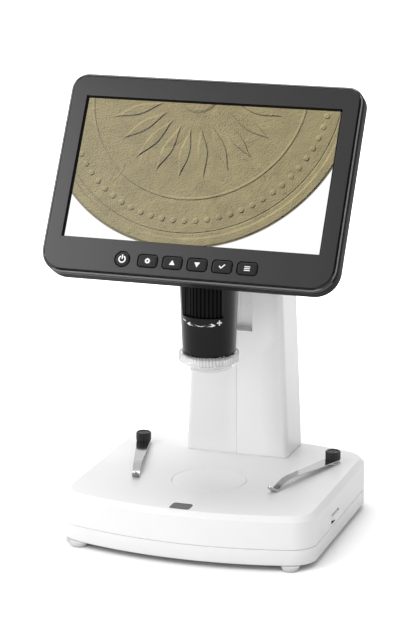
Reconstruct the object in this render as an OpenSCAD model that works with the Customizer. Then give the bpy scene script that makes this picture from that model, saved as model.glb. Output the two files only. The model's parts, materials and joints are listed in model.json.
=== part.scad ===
// LCD digital microscope: a white base with a lit stage and two stage clips, a white column
// with a rack-and-pinion slide, and a black head that carries the lens barrel, the ribbed
// focusing drum, a clear cap and a tilting screen unit with six push buttons.
// Origin: the centre of the stage surface, on the optical axis. X right, Y back, Z up.

/* [Base] */
// Width of the base across its straight sides
base_w = 156.8; // [148:0.2:176]
// Distance from the optical axis to the front of the base
base_front = 60; // [56:0.5:70]
// Distance from the optical axis to the back of the base
base_back = 94; // [91:0.5:104]
// Height of the stage surface above the table
stage_h = 32.8; // [31:0.2:42]
// Radius of the bowed front edge in plan
front_bow_r = 240; // [180:5:400]
// Radius of the bowed back edge in plan
back_bow_r = 210; // [160:5:400]
// Radius of the four plan corners of the base
base_corner_r = 17; // [9:0.5:20]
// Width of the chamfer round the top edge of the base
base_chamfer = 3; // [1.5:0.25:4]
// Wall thickness of both base covers
base_wall = 2.4; // [2:0.1:3]
// Height of the lower base cover
tray_h = 10; // [8.5:0.25:10.5]
// Height of the rubber feet
foot_h = 3; // [2.5:0.25:4.5]
// Radius of a foot where it meets the base
foot_r = 5.8; // [4.5:0.1:7]
// Distance of the front feet from the optical axis, towards the front
foot_front = 47.3; // [38:0.5:50]
// Distance of the back feet from the optical axis, towards the back
foot_back = 75; // [64:0.5:79]
// Distance of the foot centres in from the sides of the base
foot_side = 12.8; // [11.4:0.2:24]
// Radius of the lower-light window
window_r = 22.5; // [18:0.5:24]
// Thickness of the lower-light window
window_t = 3; // [2:0.25:3.5]
// Length and depth of the blank badge plate
badge_size = [12.5, 10]; // [8:0.5:14]
// Radius of the dimmer thumbwheel
wheel_r = 12; // [10.5:0.25:13]
// Thickness of the dimmer thumbwheel
wheel_t = 3.4; // [2.5:0.1:3.8]
// How far the thumbwheel stands out of the right wall
wheel_out = 2; // [1.2:0.1:2.6]

/* [Stage clips] */
// Distance of the clip pivots in from the sides of the base
clip_side = 16.4; // [14.4:0.2:22]
// Distance of the clip pivots from the optical axis, towards the back
clip_y = 55; // [48:0.5:58]
// Length of a clip from its pivot to the point that presses on the slide
clip_len = 68; // [60:0.5:72]
// Angle of each clip at rest, from straight forward, turned inward
clip_rest = 16; // [8:0.5:20]
// Width of the spring strip at the pivot
clip_root_w = 9.4; // [8:0.1:11]
// Width of the spring strip at its tip
clip_tip_w = 4.8; // [4:0.1:6]
// Thickness of the spring strip
clip_t = 0.7; // [0.5:0.05:1]
// Radius of the clip knobs
clip_knob_r = 4.7; // [4:0.1:5.5]
// Height of the clip knobs
clip_knob_h = 5.5; // [4:0.1:7]

/* [Column] */
// Height of the top of the column above the table
column_top = 222; // [221:0.5:230]
// Half-width of the column where it meets the base
column_hw = 33.2; // [31:0.1:36]
// Half-width of the column at its top
column_top_hw = 25; // [24.2:0.1:30]
// Distance of the front face of the column from the optical axis
column_y = 53.5; // [52.5:0.1:57]
// Front-to-back depth of the column
column_d = 33.5; // [30:0.1:35]
// Radius of the upright edges of the column
column_edge_r = 3.3; // [2.5:0.1:6]
// Wall thickness of the column shells
column_wall = 2.2; // [2:0.05:2.4]
// Width of the slide channel in the front of the column
channel_w = 20; // [19:0.1:21]
// Depth of the slide channel
channel_d = 8; // [7.5:0.1:8.3]
// Height of the lower end of the slide channel above the table
channel_low = 112.5; // [104:0.5:114]

/* [Height adjustment] */
// Travel of the head down from the pictured height
travel_down = 34; // [20:0.5:34]
// Travel of the head up from the pictured height
travel_up = 10; // [4:0.5:10]
// Height of the focus knob shaft above the table
pinion_h = 167; // [166:0.25:168]
// Module of the rack and pinion teeth
tooth_module = 0.8; // [0.78:0.01:0.82]
// Number of teeth on the pinion
pinion_teeth = 10; // [10:1:10]
// Radius of the knob shaft
shaft_r = 2.5; // [2:0.1:2.6]
// Radius of the two focus knobs
focus_knob_r = 18; // [14:0.25:20]
// Width of a focus knob along its shaft
focus_knob_w = 16; // [12:0.5:20]
// Radius of the two guide rods
rod_r = 1.75; // [1.5:0.05:1.9]
// Half the distance between the guide rods
rod_x = 12.5; // [10:0.25:14]

/* [Barrel] */
// Height of the lower end of the barrel above the table
barrel_low = 111; // [108:0.5:115]
// Height of the upper end of the barrel above the table
barrel_high = 165; // [163:0.5:166]
// Radius of the barrel at its lower end
barrel_low_r = 15.75; // [15.6:0.05:16.2]
// Radius of the barrel at its upper end
barrel_high_r = 18; // [17.9:0.05:18.4]
// Height of the lower edge of the drum window above the table
drum_window_low = 137; // [136:0.25:139]
// Height of the drum window
drum_window_h = 24; // [16:0.5:24.5]
// Angle that the drum window takes of the barrel, each side of the front
drum_window_half = 62; // [50:1:70]
// Radius of the ribbed focusing drum
drum_r = 15.2; // [14.8:0.05:15.3]
// Number of ribs round the focusing drum
drum_ribs = 40; // [24:1:44]
// Turn of the focusing drum each way from its middle
drum_half_turn = 150; // [120:5:165]
// Travel of the lens cell each way from its middle
lens_half_travel = 4; // [3:0.25:4]
// Radius of the clear cap's knurled rim
cap_rim_r = 17.9; // [17.6:0.05:18.6]
// Height of the clear cap's knurled rim
cap_rim_h = 6; // [5.5:0.1:7]
// Radius of the clear cap below its rim
cap_low_r = 14.4; // [13.6:0.1:15]
// Height of the clear cap below its rim
cap_low_h = 4.4; // [3.4:0.1:6]

/* [Screen unit] */
// Width of the lit picture area
lcd_w = 154.2; // [150:0.1:155]
// Height of the lit picture area
lcd_h = 85.9; // [82:0.1:87]
// Distance of the picture's centre in front of the optical axis
screen_front = 13.6; // [12:0.1:14.5]
// Height of the picture's centre above the table
screen_high = 222.6; // [222:0.1:226]
// Backward tilt of the screen at rest, from upright
screen_tilt = 30; // [29:0.25:31]
// Distance of the casing's sides from the picture
case_side = 12.4; // [12.1:0.1:18]
// Height of the casing above the picture's centre
case_up = 58.2; // [56:0.1:60]
// Height of the casing below the picture's centre
case_down = 65.5; // [65.2:0.1:67]
// Radius of the upper corners of the casing
case_top_r = 10; // [8:0.25:14]
// Radius of the lower corners of the casing
case_low_r = 15; // [10:0.25:18]
// Depth of the casing behind the picture surface
case_back = 13.2; // [13:0.05:13.6]
// How far the bezel stands in front of the picture surface
bezel_out = 1.8; // [1.4:0.05:2.2]
// Depth of the bezel's rim behind the picture surface
bezel_rim = 1.6; // [1.2:0.05:2]
// Wall thickness of the screen casing
case_wall = 2.2; // [1.8:0.05:2.2]
// Distance of the button row below the picture's centre
button_row = 54.9; // [54.6:0.1:56]
// Distance between neighbouring buttons
button_pitch = 15; // [14.5:0.05:15.5]
// Width and height of a rectangular button
button_size = [11.6, 7.2]; // [6.8:0.1:12]
// Radius of the round power button
power_r = 4.4; // [3.8:0.1:4.8]
// Gap round each button in the bezel
button_gap = 0.5; // [0.3:0.05:0.6]
// Push travel of the buttons
button_travel = 0.5; // [0.3:0.05:0.55]
// Radius of the screen hinge pin
hinge_r = 2.5; // [2:0.1:3]
// Distance of the hinge pin behind the casing
hinge_back = 9; // [8.9:0.05:9.4]
// Distance of the hinge pin above the picture's centre line
hinge_up = 8; // [7:0.25:9]

/* [Hidden] */

$fn = 48;
eps = 0.01;              // overlap that keeps a cut from ending on a face
fit = 0.05;              // running clearance of a shaft, rod or pin
gap = 0.3;               // clearance between faces that move past each other
seat = 0.1;              // clearance of a part that drops into a seat
screw_r = 1.2;           // shank of the assembly screws
screw_hole_r = 1.4;      // clearance hole for a screw
screw_head_r = 2.6;
screw_head_h = 1.6;

// Levels, all measured from the stage surface
table_z = -stage_h;
base_low = table_z + foot_h;
seam_z = base_low + tray_h;
tray_floor = base_low + base_wall;
column_high = table_z + column_top;
channel_z = table_z + channel_low;
barrel_z = table_z + barrel_low;
barrel_top = table_z + barrel_high;
pinion_z = table_z + pinion_h;

// Base
wheel_z = seam_z + 3.7;
wheel_x = base_w / 2 + wheel_out - wheel_r;
wheel_y = 1.8;
foot_x = base_w / 2 - foot_side;
clip_x = base_w / 2 - clip_side;
ballast_hw = base_w / 2 - 30.4;
socket_x = -40;          // centre of the power socket
socket_z = seam_z + 5.5;
socket_r = 4.1;
clip_socket_h = 8;       // depth of the bushes that carry the clips
base_screw_x = base_w / 2 - 14.4;
base_screw_front = -26;
base_screw_back = 34;
boss_r = 4;
window_ledge = 2.2;
ledge_w = 2.5;
cup_flange_z = -window_t - window_ledge;
cup_low = tray_floor + 3.7;
board_t = 1.6;

// Stage clips
clip_root_z = 2.1;       // middle of the strip above the stage, at the pivot
clip_hump_z = 4.6;       // middle of the strip above the stage, before it turns down
clip_pin_r = 1.6;
clip_bush_r = 3.6;
bush_flange_t = 0.8;

// Column and slide
channel_back = column_y + channel_d;
column_back = column_y + column_d;
slide_y = channel_back + column_wall + 0.6;     // front face of the carriage block
block_t = 6;
block_hw = 17;
rod_y = slide_y + block_t / 2;
rack_base = 1.5;
rack_hw = 4;
pitch_r = tooth_module * pinion_teeth / 2;
tooth_out = 0.95 * tooth_module;
tooth_in = 1.25 * tooth_module;
rack_pitch_y = slide_y + block_t + tooth_in;
pinion_y = rack_pitch_y + pitch_r;
rack_low = pinion_z - travel_up - 2;
rack_high = pinion_z + travel_down + 2;
stem_hw = 3.5;
flange_low = table_z + 150;
flange_high = table_z + 198;
stem_low = table_z + 176;
channel_high = flange_high + travel_up + 2;
slot_low = stem_low - travel_down - 1;
slot_high = flange_high + travel_up + 1;
holder_t = 5;
low_holder_z = rack_low - travel_down - 1 - holder_t;
high_holder_z = rack_high + travel_up + 1;
bush_r = 4.5;
bush_lip = 0.5;          // flange of a shaft bush beyond its body

// Head
head_hw = 18;
head_wall = 2.5;
head_top = table_z + 200.8;
head_front_low = -16.9;
head_front_top = -4.5;
cover_t = 3;

// Barrel
cone_step = (barrel_high_r - barrel_low_r) / (barrel_top - barrel_z);
drum_seat_z = table_z + drum_window_low - 0.8;
drum_low = drum_seat_z + 0.2;
drum_high = barrel_top - 2.4;
sleeve_r = 13.2;
tube_r = 10.9;
cell_r = 9;
lens_mid_z = (drum_low + drum_high) / 2;
drive_pin_r = 1.2;
lip_r = 13.2;
led_board_z = barrel_z + 2.8;
cap_inner_r = barrel_low_r + cone_step * 3 + 0.25;
cap_top = barrel_z + 2.6;
cap_shoulder = cap_top - cap_rim_h;
cap_bottom = cap_shoulder - cap_low_h;
cap_wall = 1.4;

// Screen unit, in its own frame: X right, Y into the casing, Z up the screen
screen_y = -screen_front;
screen_z = table_z + screen_high;
case_hw = lcd_w / 2 + case_side;
opening_margin = 1.1;    // bezel opening beyond the picture, each side
panel_hw = case_hw - 7;
panel_up = 49.6;
panel_down = 48.9;
glass_t = 1.2;
backlight_t = 4.5;
main_board_y = 6.5;
main_board_left = 6 - case_hw;
main_board_right = 26;
case_inner = case_back - case_wall;
button_board_y = 2.1 + 1.2;
hinge_y = case_back + hinge_back;
ear_r = 7;
knuckle_r = ear_r - 0.5;
knuckle_hw = 9;
ear_t = 6;
bracket_t = 2;
bracket_hw = knuckle_hw + gap + ear_t + 2;
bracket_screw_r = 1;
// The same hinge axis in the model's frame
hinge_my = screen_y + hinge_y * cos(screen_tilt) + hinge_up * sin(screen_tilt);
hinge_mz = screen_z - hinge_y * sin(screen_tilt) + hinge_up * cos(screen_tilt);
case_boss = [[case_hw - 4.7, 30], [-case_hw + 4.7, 30], [case_hw - 4.7, -30],
    [-case_hw + 4.7, -30], [62, -case_down + 5], [-62, -case_down + 5]];
case_boss_r = 2.2;
button_x = [for (i = [0 : 4]) -22.9 + i * button_pitch];
power_x = button_x[0] - button_pitch - 0.5;

// ---------------------------------------------------------------- outlines

function arc(cx, cy, r, from, to, n) =
    [for (i = [0 : n]) let (a = from + (to - from) * i / n) [cx + r * cos(a), cy + r * sin(a)]];

// Plan outline with straight sides, bowed front and back, and round corners
function bowed(hw, front, back, rf, rb, rc) =
    let (cf = front + rf,
         cb = back - rb,
         af = asin((hw - rc) / (rf - rc)),
         ab = asin((hw - rc) / (rb - rc)),
         yf = cf - (rf - rc) * cos(af),
         yb = cb + (rb - rc) * cos(ab))
    concat(arc(0, cf, rf, 270 - af, 270 + af, 14),
        arc(hw - rc, yf, rc, 270 + af, 360, 8),
        arc(hw - rc, yb, rc, 0, 90 - ab, 8),
        arc(0, cb, rb, 90 - ab, 90 + ab, 14),
        arc(rc - hw, yb, rc, 90 + ab, 180, 8),
        arc(rc - hw, yf, rc, 180, 270 - af, 8));

// Rectangle with one radius for its upper corners and one for its lower corners
function cornered(hw, up, down, rt, rl) =
    concat(arc(hw - rl, rl - down, rl, 270, 360, 8),
        arc(hw - rt, up - rt, rt, 0, 90, 8),
        arc(rt - hw, up - rt, rt, 90, 180, 8),
        arc(rl - hw, rl - down, rl, 180, 270, 8));

module base_outline(inset) {
    polygon(bowed(base_w / 2 - inset, inset - base_front, base_back - inset,
        front_bow_r - inset, back_bow_r - inset, base_corner_r - inset));
}

module case_outline(inset) {
    polygon(cornered(case_hw - inset, case_up - inset, case_down - inset,
        case_top_r - inset, case_low_r - inset));
}

// Rounded rectangle with true arcs
module round_rect(w, h, r) {
    square([w - 2 * r, h], center = true);
    square([w, h - 2 * r], center = true);
    for (x = [-1, 1], y = [-1, 1])
        translate([x * (w / 2 - r), y * (h / 2 - r)])
            circle(r);
}

// ---------------------------------------------------------------- helpers

module tube(outer, inner, h) {
    difference() {
        cylinder(r = outer, h = h);
        translate([0, 0, -eps])
            cylinder(r = inner, h = h + 2 * eps);
    }
}

// Screw standing on its point: shank upward from z = 0, head below
module screw(len, head_r = screw_head_r, head_h = screw_head_h, shank_r = screw_r) {
    cylinder(r = shank_r, h = len);
    difference() {
        translate([0, 0, -head_h])
            cylinder(r = head_r, h = head_h);
        for (turn = [0, 90])
            rotate([0, 0, turn])
                translate([-head_r * 0.6, -0.3, -head_h - eps])
                    cube([head_r * 1.2, 0.6, head_h * 0.55]);
    }
}

// Grooves cut along Z round a wheel or knob
module grooves(r, count, cut_r, h) {
    for (i = [0 : count - 1])
        rotate([0, 0, i * 360 / count])
            translate([r, 0, -eps])
                cylinder(r = cut_r, h = h + 2 * eps, $fn = 16);
}

// Places children in the screen's own frame
module on_screen() {
    translate([0, screen_y, screen_z])
        rotate([-screen_tilt, 0, 0])
            children();
}

// A flat shape of the screen's X and Z, made solid from y0 to y1
module slab(y0, y1) {
    translate([0, y1, 0])
        rotate([90, 0, 0])
            linear_extrude(y1 - y0)
                children();
}

// A round bar along the screen's Y from y0 to y1
module bar(x, z, r, y0, y1) {
    translate([x, y1, z])
        rotate([90, 0, 0])
            cylinder(r = r, h = y1 - y0);
}

// Points of the two clip pivots and the four feet
module at_pivot(side) {
    translate([side * clip_x, clip_y, 0])
        children();
}

module each_foot() {
    for (x = [-foot_x, foot_x], y = [-foot_front, foot_back])
        translate([x, y, 0])
            children();
}

module each_base_screw() {
    for (x = [-base_screw_x, base_screw_x], y = [base_screw_front, base_screw_back])
        translate([x, y, 0])
            children();
}

module each_column_screw() {
    for (x = [-1, 1], y = [channel_back - 1, column_back - 8])
        translate([x * (column_hw - 9), y, 0])
            children();
}

// ---------------------------------------------------------------- base

module base_top_cover() {
    color("whitesmoke")
        difference() {
            union() {
                difference() {
                    hull() {
                        translate([0, 0, seam_z])
                            linear_extrude(-base_chamfer - seam_z)
                                base_outline(0);
                        translate([0, 0, -0.2])
                            linear_extrude(0.2)
                                base_outline(base_chamfer);
                    }
                    translate([0, 0, seam_z - eps])
                        linear_extrude(-base_wall - seam_z + eps)
                            base_outline(base_wall + 0.6);
                }
                // Ring that carries the window and the light cup
                translate([0, 0, cup_flange_z])
                    cylinder(r = window_r + 3.5, h = -cup_flange_z - base_wall + eps);
                // Bosses for the base screws
                each_base_screw()
                    translate([0, 0, tray_floor])
                        cylinder(r = boss_r, h = -tray_floor - base_wall + eps);
                // Sockets for the clip bushes
                for (side = [-1, 1])
                    at_pivot(side)
                        translate([0, 0, -clip_socket_h])
                            cylinder(r = clip_bush_r + 2, h = clip_socket_h - base_wall + eps);
            }
            // Window seat and light opening
            translate([0, 0, -window_t])
                cylinder(r = window_r + seat, h = window_t + eps, $fn = 96);
            translate([0, 0, cup_flange_z - eps])
                cylinder(r = window_r - ledge_w, h = window_ledge + 2 * eps, $fn = 96);
            each_base_screw()
                translate([0, 0, tray_floor - eps])
                    cylinder(r = screw_r, h = 12);
            for (side = [-1, 1])
                at_pivot(side)
                    translate([0, 0, -clip_socket_h - eps])
                        cylinder(r = clip_bush_r, h = clip_socket_h + 2 * eps);
            each_column_screw()
                translate([0, 0, -base_wall - eps])
                    cylinder(r = screw_hole_r, h = base_wall + 2 * eps);
            // Thumbwheel slot
            translate([wheel_x, wheel_y, wheel_z - 0.6])
                cylinder(r = wheel_r + 0.7, h = wheel_t + 1.2, $fn = 96);
            // Opening for the power socket
            translate([socket_x, base_back - 14, socket_z])
                rotate([-90, 0, 0])
                    cylinder(r = socket_r + seat, h = 20);
            // Seat for the badge plate
            translate([0, badge_y(), -0.6])
                linear_extrude(1)
                    round_rect(badge_size[0], badge_size[1], 2);
        }
}

function badge_y() = -base_front + base_chamfer + badge_size[1] / 2 + 1;

module base_bottom_cover() {
    color("whitesmoke")
        difference() {
            union() {
                difference() {
                    translate([0, 0, base_low])
                        linear_extrude(tray_h)
                            base_outline(0);
                    translate([0, 0, tray_floor])
                        linear_extrude(tray_h)
                            base_outline(base_wall + 0.6);
                }
                // Lip that locates the upper cover
                difference() {
                    translate([0, 0, tray_floor - eps])
                        linear_extrude(seam_z + 2 - tray_floor)
                            base_outline(base_wall + 0.6 + seat);
                    translate([0, 0, tray_floor - 1])
                        linear_extrude(tray_h + 4)
                            base_outline(base_wall + 2.2);
                    translate([wheel_x, wheel_y, wheel_z - 1])
                        cylinder(r = wheel_r + 0.7, h = 8);
                    for (side = [-1, 1])
                        translate([side * base_screw_x - 6, base_screw_front - 6, seam_z])
                            cube([12, base_screw_back - base_screw_front + 12, 4]);
                    translate([socket_x - 8, base_back - 20, seam_z + 0.6])
                        cube([16, 30, 4]);
                }
                // Posts under the light board and the control board
                for (turn = [90, 210, 330])
                    rotate([0, 0, turn])
                        translate([window_r - 8, 0, tray_floor - eps])
                            cylinder(r = 2, h = cup_low - board_t - tray_floor + eps);
                for (x = [-26, -4], y = [-12, 14])
                    translate([wheel_x + x, wheel_y + y, tray_floor - eps])
                        cylinder(r = 2, h = 1.7 + eps);
                // Post under the power socket
                translate([socket_x - 4, base_back - 17, tray_floor - eps])
                    cube([8, 8, seam_z + 1.3 - tray_floor + eps]);
            }
            each_base_screw() {
                translate([0, 0, base_low - eps])
                    cylinder(r = screw_hole_r, h = base_wall + 2 * eps);
                translate([0, 0, base_low - eps])
                    cylinder(r = screw_head_r + 0.2, h = 1 + eps);
            }
        }
}

module feet() {
    color("gainsboro")
        each_foot()
            rotate_extrude()
                polygon([[0, table_z], [foot_r - 2.4, table_z], [foot_r - 1.4, table_z + 0.7],
                    [foot_r - 0.3, base_low - 0.6], [foot_r, base_low], [0, base_low]]);
}

module base_screws() {
    color("silver")
        each_base_screw()
            translate([0, 0, base_low + 1])
                screw(9, head_h = 1);
}

module stage_window() {
    color("white")
        translate([0, 0, -window_t])
            cylinder(r = window_r, h = window_t, $fn = 96);
}

module light_cup() {
    inner = window_r - ledge_w;
    color("white")
        rotate_extrude($fn = 96)
            polygon([[inner, cup_flange_z], [window_r + 2, cup_flange_z],
                [window_r + 2, cup_flange_z - 1.4], [inner + 1.4, cup_flange_z - 1.4],
                [window_r - 6, cup_low], [window_r - 8, cup_low]]);
}

module light_board() {
    color("seagreen") {
        translate([0, 0, cup_low - board_t])
            cylinder(r = window_r - 5.2, h = board_t);
        for (turn = [0 : 60 : 300])
            rotate([0, 0, turn])
                translate([7.2, -1.6, cup_low - eps])
                    cube([3.2, 3.2, 0.9]);
    }
}

module ballast_plate() {
    ballast_y0 = 10 - base_front;
    color("dimgray")
        translate([-ballast_hw, ballast_y0, tray_floor])
            cube([2 * ballast_hw, -window_r - 4 - ballast_y0, 8]);
}

module control_board() {
    color("seagreen") {
        translate([wheel_x - 29, wheel_y - 15, tray_floor + 1.7])
            cube([34, 32, board_t]);
        translate([wheel_x - 26, wheel_y - 10, tray_floor + 1.7 + board_t - eps])
            cube([9, 7, 2]);
        translate([wheel_x - 25, wheel_y + 6, tray_floor + 1.7 + board_t - eps])
            cube([7, 5, 4]);
    }
}

module dimmer_pot() {
    pot_z = tray_floor + 1.7 + board_t;
    color("slategray") {
        translate([wheel_x - 5.2, wheel_y - 5.2, pot_z])
            cube([10.4, 10.4, wheel_z - gap - pot_z]);
        translate([wheel_x, wheel_y, wheel_z - gap - eps])
            cylinder(r = 2, h = wheel_t + gap + 0.5);
    }
}

module power_socket() {
    color("dimgray")
        difference() {
            union() {
                translate([socket_x - 4.5, base_back - 17, socket_z - 4.2])
                    cube([9, 9, 8.4]);
                translate([socket_x, base_back - 9, socket_z])
                    rotate([-90, 0, 0])
                        cylinder(r = socket_r, h = 4.6);
            }
            translate([socket_x, base_back - 14, socket_z])
                rotate([-90, 0, 0])
                    cylinder(r = 2.8, h = 20);
        }
}

module badge_plate() {
    color("dimgray")
        translate([0, badge_y(), -0.6])
            linear_extrude(0.75)
                round_rect(badge_size[0] - seat, badge_size[1] - seat, 2);
}

module clip_bushes() {
    color("silver")
        for (side = [-1, 1])
            at_pivot(side)
                difference() {
                    union() {
                        translate([0, 0, -clip_socket_h])
                            cylinder(r = clip_bush_r, h = clip_socket_h);
                        cylinder(r = clip_bush_r + 1.2, h = bush_flange_t);
                    }
                    translate([0, 0, -clip_socket_h - eps])
                        cylinder(r = clip_pin_r + fit, h = clip_socket_h + bush_flange_t + 2 * eps);
                }
}

module dimmer_wheel() {
    color("whitesmoke")
        translate([wheel_x, wheel_y, wheel_z])
            difference() {
                cylinder(r = wheel_r, h = wheel_t, $fn = 96);
                translate([0, 0, -eps])
                    cylinder(r = 2 + fit, h = wheel_t + 2 * eps);
                grooves(wheel_r + 0.25, 36, 0.6, wheel_t);
            }
}

// ---------------------------------------------------------------- stage clips

// Side profile of the spring strip: rises gently, turns down to the slide, ends in a toe
module clip_profile() {
    h = clip_t / 2;
    press = clip_t / 2 + 0.2;
    run = [[-clip_root_w / 2, clip_root_z], [0, clip_root_z], [clip_len - 16, clip_hump_z],
        [clip_len - 10, clip_hump_z - 0.3], [clip_len - 5, clip_hump_z - 1.9],
        [clip_len - 1.2, press + 0.4], [clip_len, press], [clip_len + 1.6, press + 0.7],
        [clip_len + 4.4, press + 3.6]];
    polygon(concat([for (p = run) p + [0, h]],
        [for (i = [len(run) - 1 : -1 : 0]) run[i] - [0, h]]));
}

// The strip lies along -Y from its pivot, then turns inward to its rest angle
module clip_strip(side) {
    color("silver")
        at_pivot(side)
            rotate([0, 0, side * -clip_rest])
                difference() {
                    intersection() {
                        rotate([90, 0, -90])
                            translate([0, 0, -clip_root_w])
                                linear_extrude(2 * clip_root_w)
                                    clip_profile();
                        union() {
                            translate([0, 0, -1])
                                cylinder(r = clip_root_w / 2, h = 12);
                            translate([0, 0, -1])
                                linear_extrude(12)
                                    polygon([[clip_root_w / 2, 0], [-clip_root_w / 2, 0],
                                        [-clip_tip_w / 2, -clip_len], [clip_tip_w / 2, -clip_len]]);
                            translate([0, -clip_len, -1])
                                linear_extrude(12)
                                    translate([-clip_tip_w / 2, -3])
                                        square([clip_tip_w, 3.1]);
                            translate([0, -clip_len - 2.9, -1])
                                cylinder(r = clip_tip_w / 2, h = 12);
                        }
                    }
                    translate([0, 0, -1])
                        cylinder(r = clip_pin_r, h = 12);
                }
}

module clip_knob(side) {
    color("black")
        at_pivot(side)
            translate([0, 0, clip_root_z + clip_t / 2])
                difference() {
                    cylinder(r = clip_knob_r, h = clip_knob_h);
                    translate([0, 0, -eps])
                        cylinder(r = clip_pin_r, h = clip_knob_h - 1.5);
                    translate([0, 0, clip_knob_h - 0.3])
                        cylinder(r = clip_knob_r - 1, h = 1);
                    grooves(clip_knob_r + 0.2, 30, 0.42, clip_knob_h - 0.8);
                }
}

// Pin with a collar under the strip and a retaining head under the base cover
module clip_pin(side) {
    color("silver")
        at_pivot(side) {
            translate([0, 0, -9])
                cylinder(r = clip_pin_r, h = 9 + clip_root_z + clip_t / 2 + clip_knob_h - 1.5 - eps);
            translate([0, 0, bush_flange_t + 0.1])
                cylinder(r = clip_pin_r + 1.6, h = clip_root_z - clip_t / 2 - bush_flange_t - 0.1);
            translate([0, 0, -9.2])
                cylinder(r = clip_bush_r, h = 1.1);
        }
}

module clip_strip_left() { clip_strip(-1); }
module clip_strip_right() { clip_strip(1); }
module clip_knob_left() { clip_knob(-1); }
module clip_knob_right() { clip_knob(1); }
module clip_pin_left() { clip_pin(-1); }
module clip_pin_right() { clip_pin(1); }

// ---------------------------------------------------------------- column

function column_hw_at(z) = column_hw + (column_top_hw - column_hw) * z / column_high;

module column_section(hw, inset) {
    r = max(column_edge_r - inset, 1);
    translate([0, (column_y + column_back) / 2])
        round_rect(2 * (hw - inset), column_d - 2 * inset, r);
}

module column_solid(inset, low, high) {
    hull() {
        translate([0, 0, low])
            linear_extrude(0.1)
                column_section(column_hw_at(low), inset);
        translate([0, 0, high - 2.5])
            linear_extrude(0.1)
                column_section(column_hw_at(high), inset);
        translate([0, 0, high - 0.1])
            linear_extrude(0.1)
                column_section(column_hw_at(high), inset + 2.5);
    }
}

// One half of the column, on the side that is given
module column_shell(side) {
    low_gap = 3;
    color("whitesmoke")
        intersection() {
            difference() {
                union() {
                    difference() {
                        column_solid(0, 0, column_high, $fn = 32);
                        difference() {
                            column_solid(column_wall, low_gap, column_high - column_wall, $fn = 32);
                            // Walls of the slide channel, up to the top of the upper rod holder
                            translate([-channel_w / 2 - column_wall, column_y, channel_z - column_wall])
                                cube([channel_w + 2 * column_wall, channel_d + column_wall,
                                    high_holder_z + holder_t + column_wall - channel_z]);
                        }
                    }
                    each_column_screw()
                        cylinder(r = boss_r, h = 14);
                }
                // Slide channel and the slot for the carriage stem
                translate([-channel_w / 2, column_y - 1, channel_z])
                    cube([channel_w, channel_d + 1, channel_high - channel_z]);
                translate([-stem_hw - gap, column_y, slot_low])
                    cube([2 * (stem_hw + gap), channel_d + column_wall + 1, slot_high - slot_low]);
                each_column_screw()
                    translate([0, 0, -eps])
                        cylinder(r = screw_r, h = 11);
                // Holes for the shaft bushes, and room for their flanges inside
                translate([-60, pinion_y, pinion_z])
                    rotate([0, 90, 0])
                        cylinder(r = bush_r, h = 120);
                translate([-bush_face_x(), pinion_y, pinion_z])
                    rotate([0, 90, 0])
                        cylinder(r = bush_r + bush_lip + seat, h = 2 * bush_face_x());
            }
            translate([side > 0 ? 0 : -60, column_y - 5, -1])
                cube([60, column_d + 10, column_high + 2]);
        }
}

module column_left_shell() { column_shell(-1); }
module column_right_shell() { column_shell(1); }

module column_screws() {
    color("silver")
        each_column_screw()
            translate([0, 0, -base_wall])
                screw(10);
}

module guide_rods() {
    color("silver")
        for (x = [-rod_x, rod_x])
            translate([x, rod_y, low_holder_z])
                cylinder(r = rod_r, h = high_holder_z + holder_t - low_holder_z);
}

// Lower and upper blocks that hold the guide rods against the back of the slide channel
module rod_holders() {
    // Clear of the column walls by the side gap, and of the rounding inside the column's top
    side_gap = 0.3;
    top_rounding = 2.5;
    color("dimgray")
        for (z = [low_holder_z, high_holder_z])
            let (hw = column_hw_at(z + holder_t) - column_wall - side_gap
                - max(0, z + holder_t + column_wall + top_rounding - column_high))
            difference() {
                translate([-hw, channel_back + column_wall, z])
                    cube([2 * hw, block_t + 1.2, holder_t]);
                for (x = [-rod_x, rod_x])
                    translate([x, rod_y, z - eps])
                        cylinder(r = rod_r, h = holder_t + 2 * eps);
            }
}

// Outer face of the bush flanges, inside the column walls
function bush_face_x() = column_hw_at(pinion_z) - column_wall - 0.6;

module shaft_bushes() {
    flange_t = 1.9;
    flange_x = bush_face_x() - flange_t;
    color("goldenrod")
        for (side = [-1, 1])
            translate([0, pinion_y, pinion_z])
                rotate([0, side * 90, 0])
                    difference() {
                        union() {
                            translate([0, 0, flange_x])
                                cylinder(r = bush_r, h = column_wall + 3.3);
                            translate([0, 0, flange_x])
                                cylinder(r = bush_r + bush_lip, h = flange_t);
                        }
                        translate([0, 0, flange_x - 1])
                            cylinder(r = shaft_r + fit, h = 10);
                    }
}

// ---------------------------------------------------------------- height adjustment

// Tooth outline about +X: flanks narrow from the root to the tip
function tooth(root, tip, half_root, half_pitch, half_tip) =
    [[root, -half_root], [pitch_r, -half_pitch], [tip, -half_tip],
     [tip, half_tip], [pitch_r, half_pitch], [root, half_root]];

// Pinion, cut on the shaft that carries the two knobs
module pinion_shaft() {
    circular = PI * tooth_module;
    shaft_hw = focus_knob_x() + focus_knob_w - 4;
    color("silver") {
        translate([-shaft_hw, pinion_y, pinion_z])
            rotate([0, 90, 0])
                cylinder(r = shaft_r, h = 2 * shaft_hw);
        translate([-rack_hw - 1, pinion_y, pinion_z])
            rotate([0, 90, 0])
                linear_extrude(2 * rack_hw + 2) {
                    circle(pitch_r - tooth_in);
                    for (i = [0 : pinion_teeth - 1])
                        rotate([0, 0, 90 + i * 360 / pinion_teeth])
                            polygon(tooth(pitch_r - tooth_in - 0.3, pitch_r + tooth_out,
                                0.25 * circular, 0.2 * circular, 0.09 * circular));
                }
    }
}

function focus_knob_x() = column_hw_at(pinion_z - focus_knob_r) + 0.9;

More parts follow.
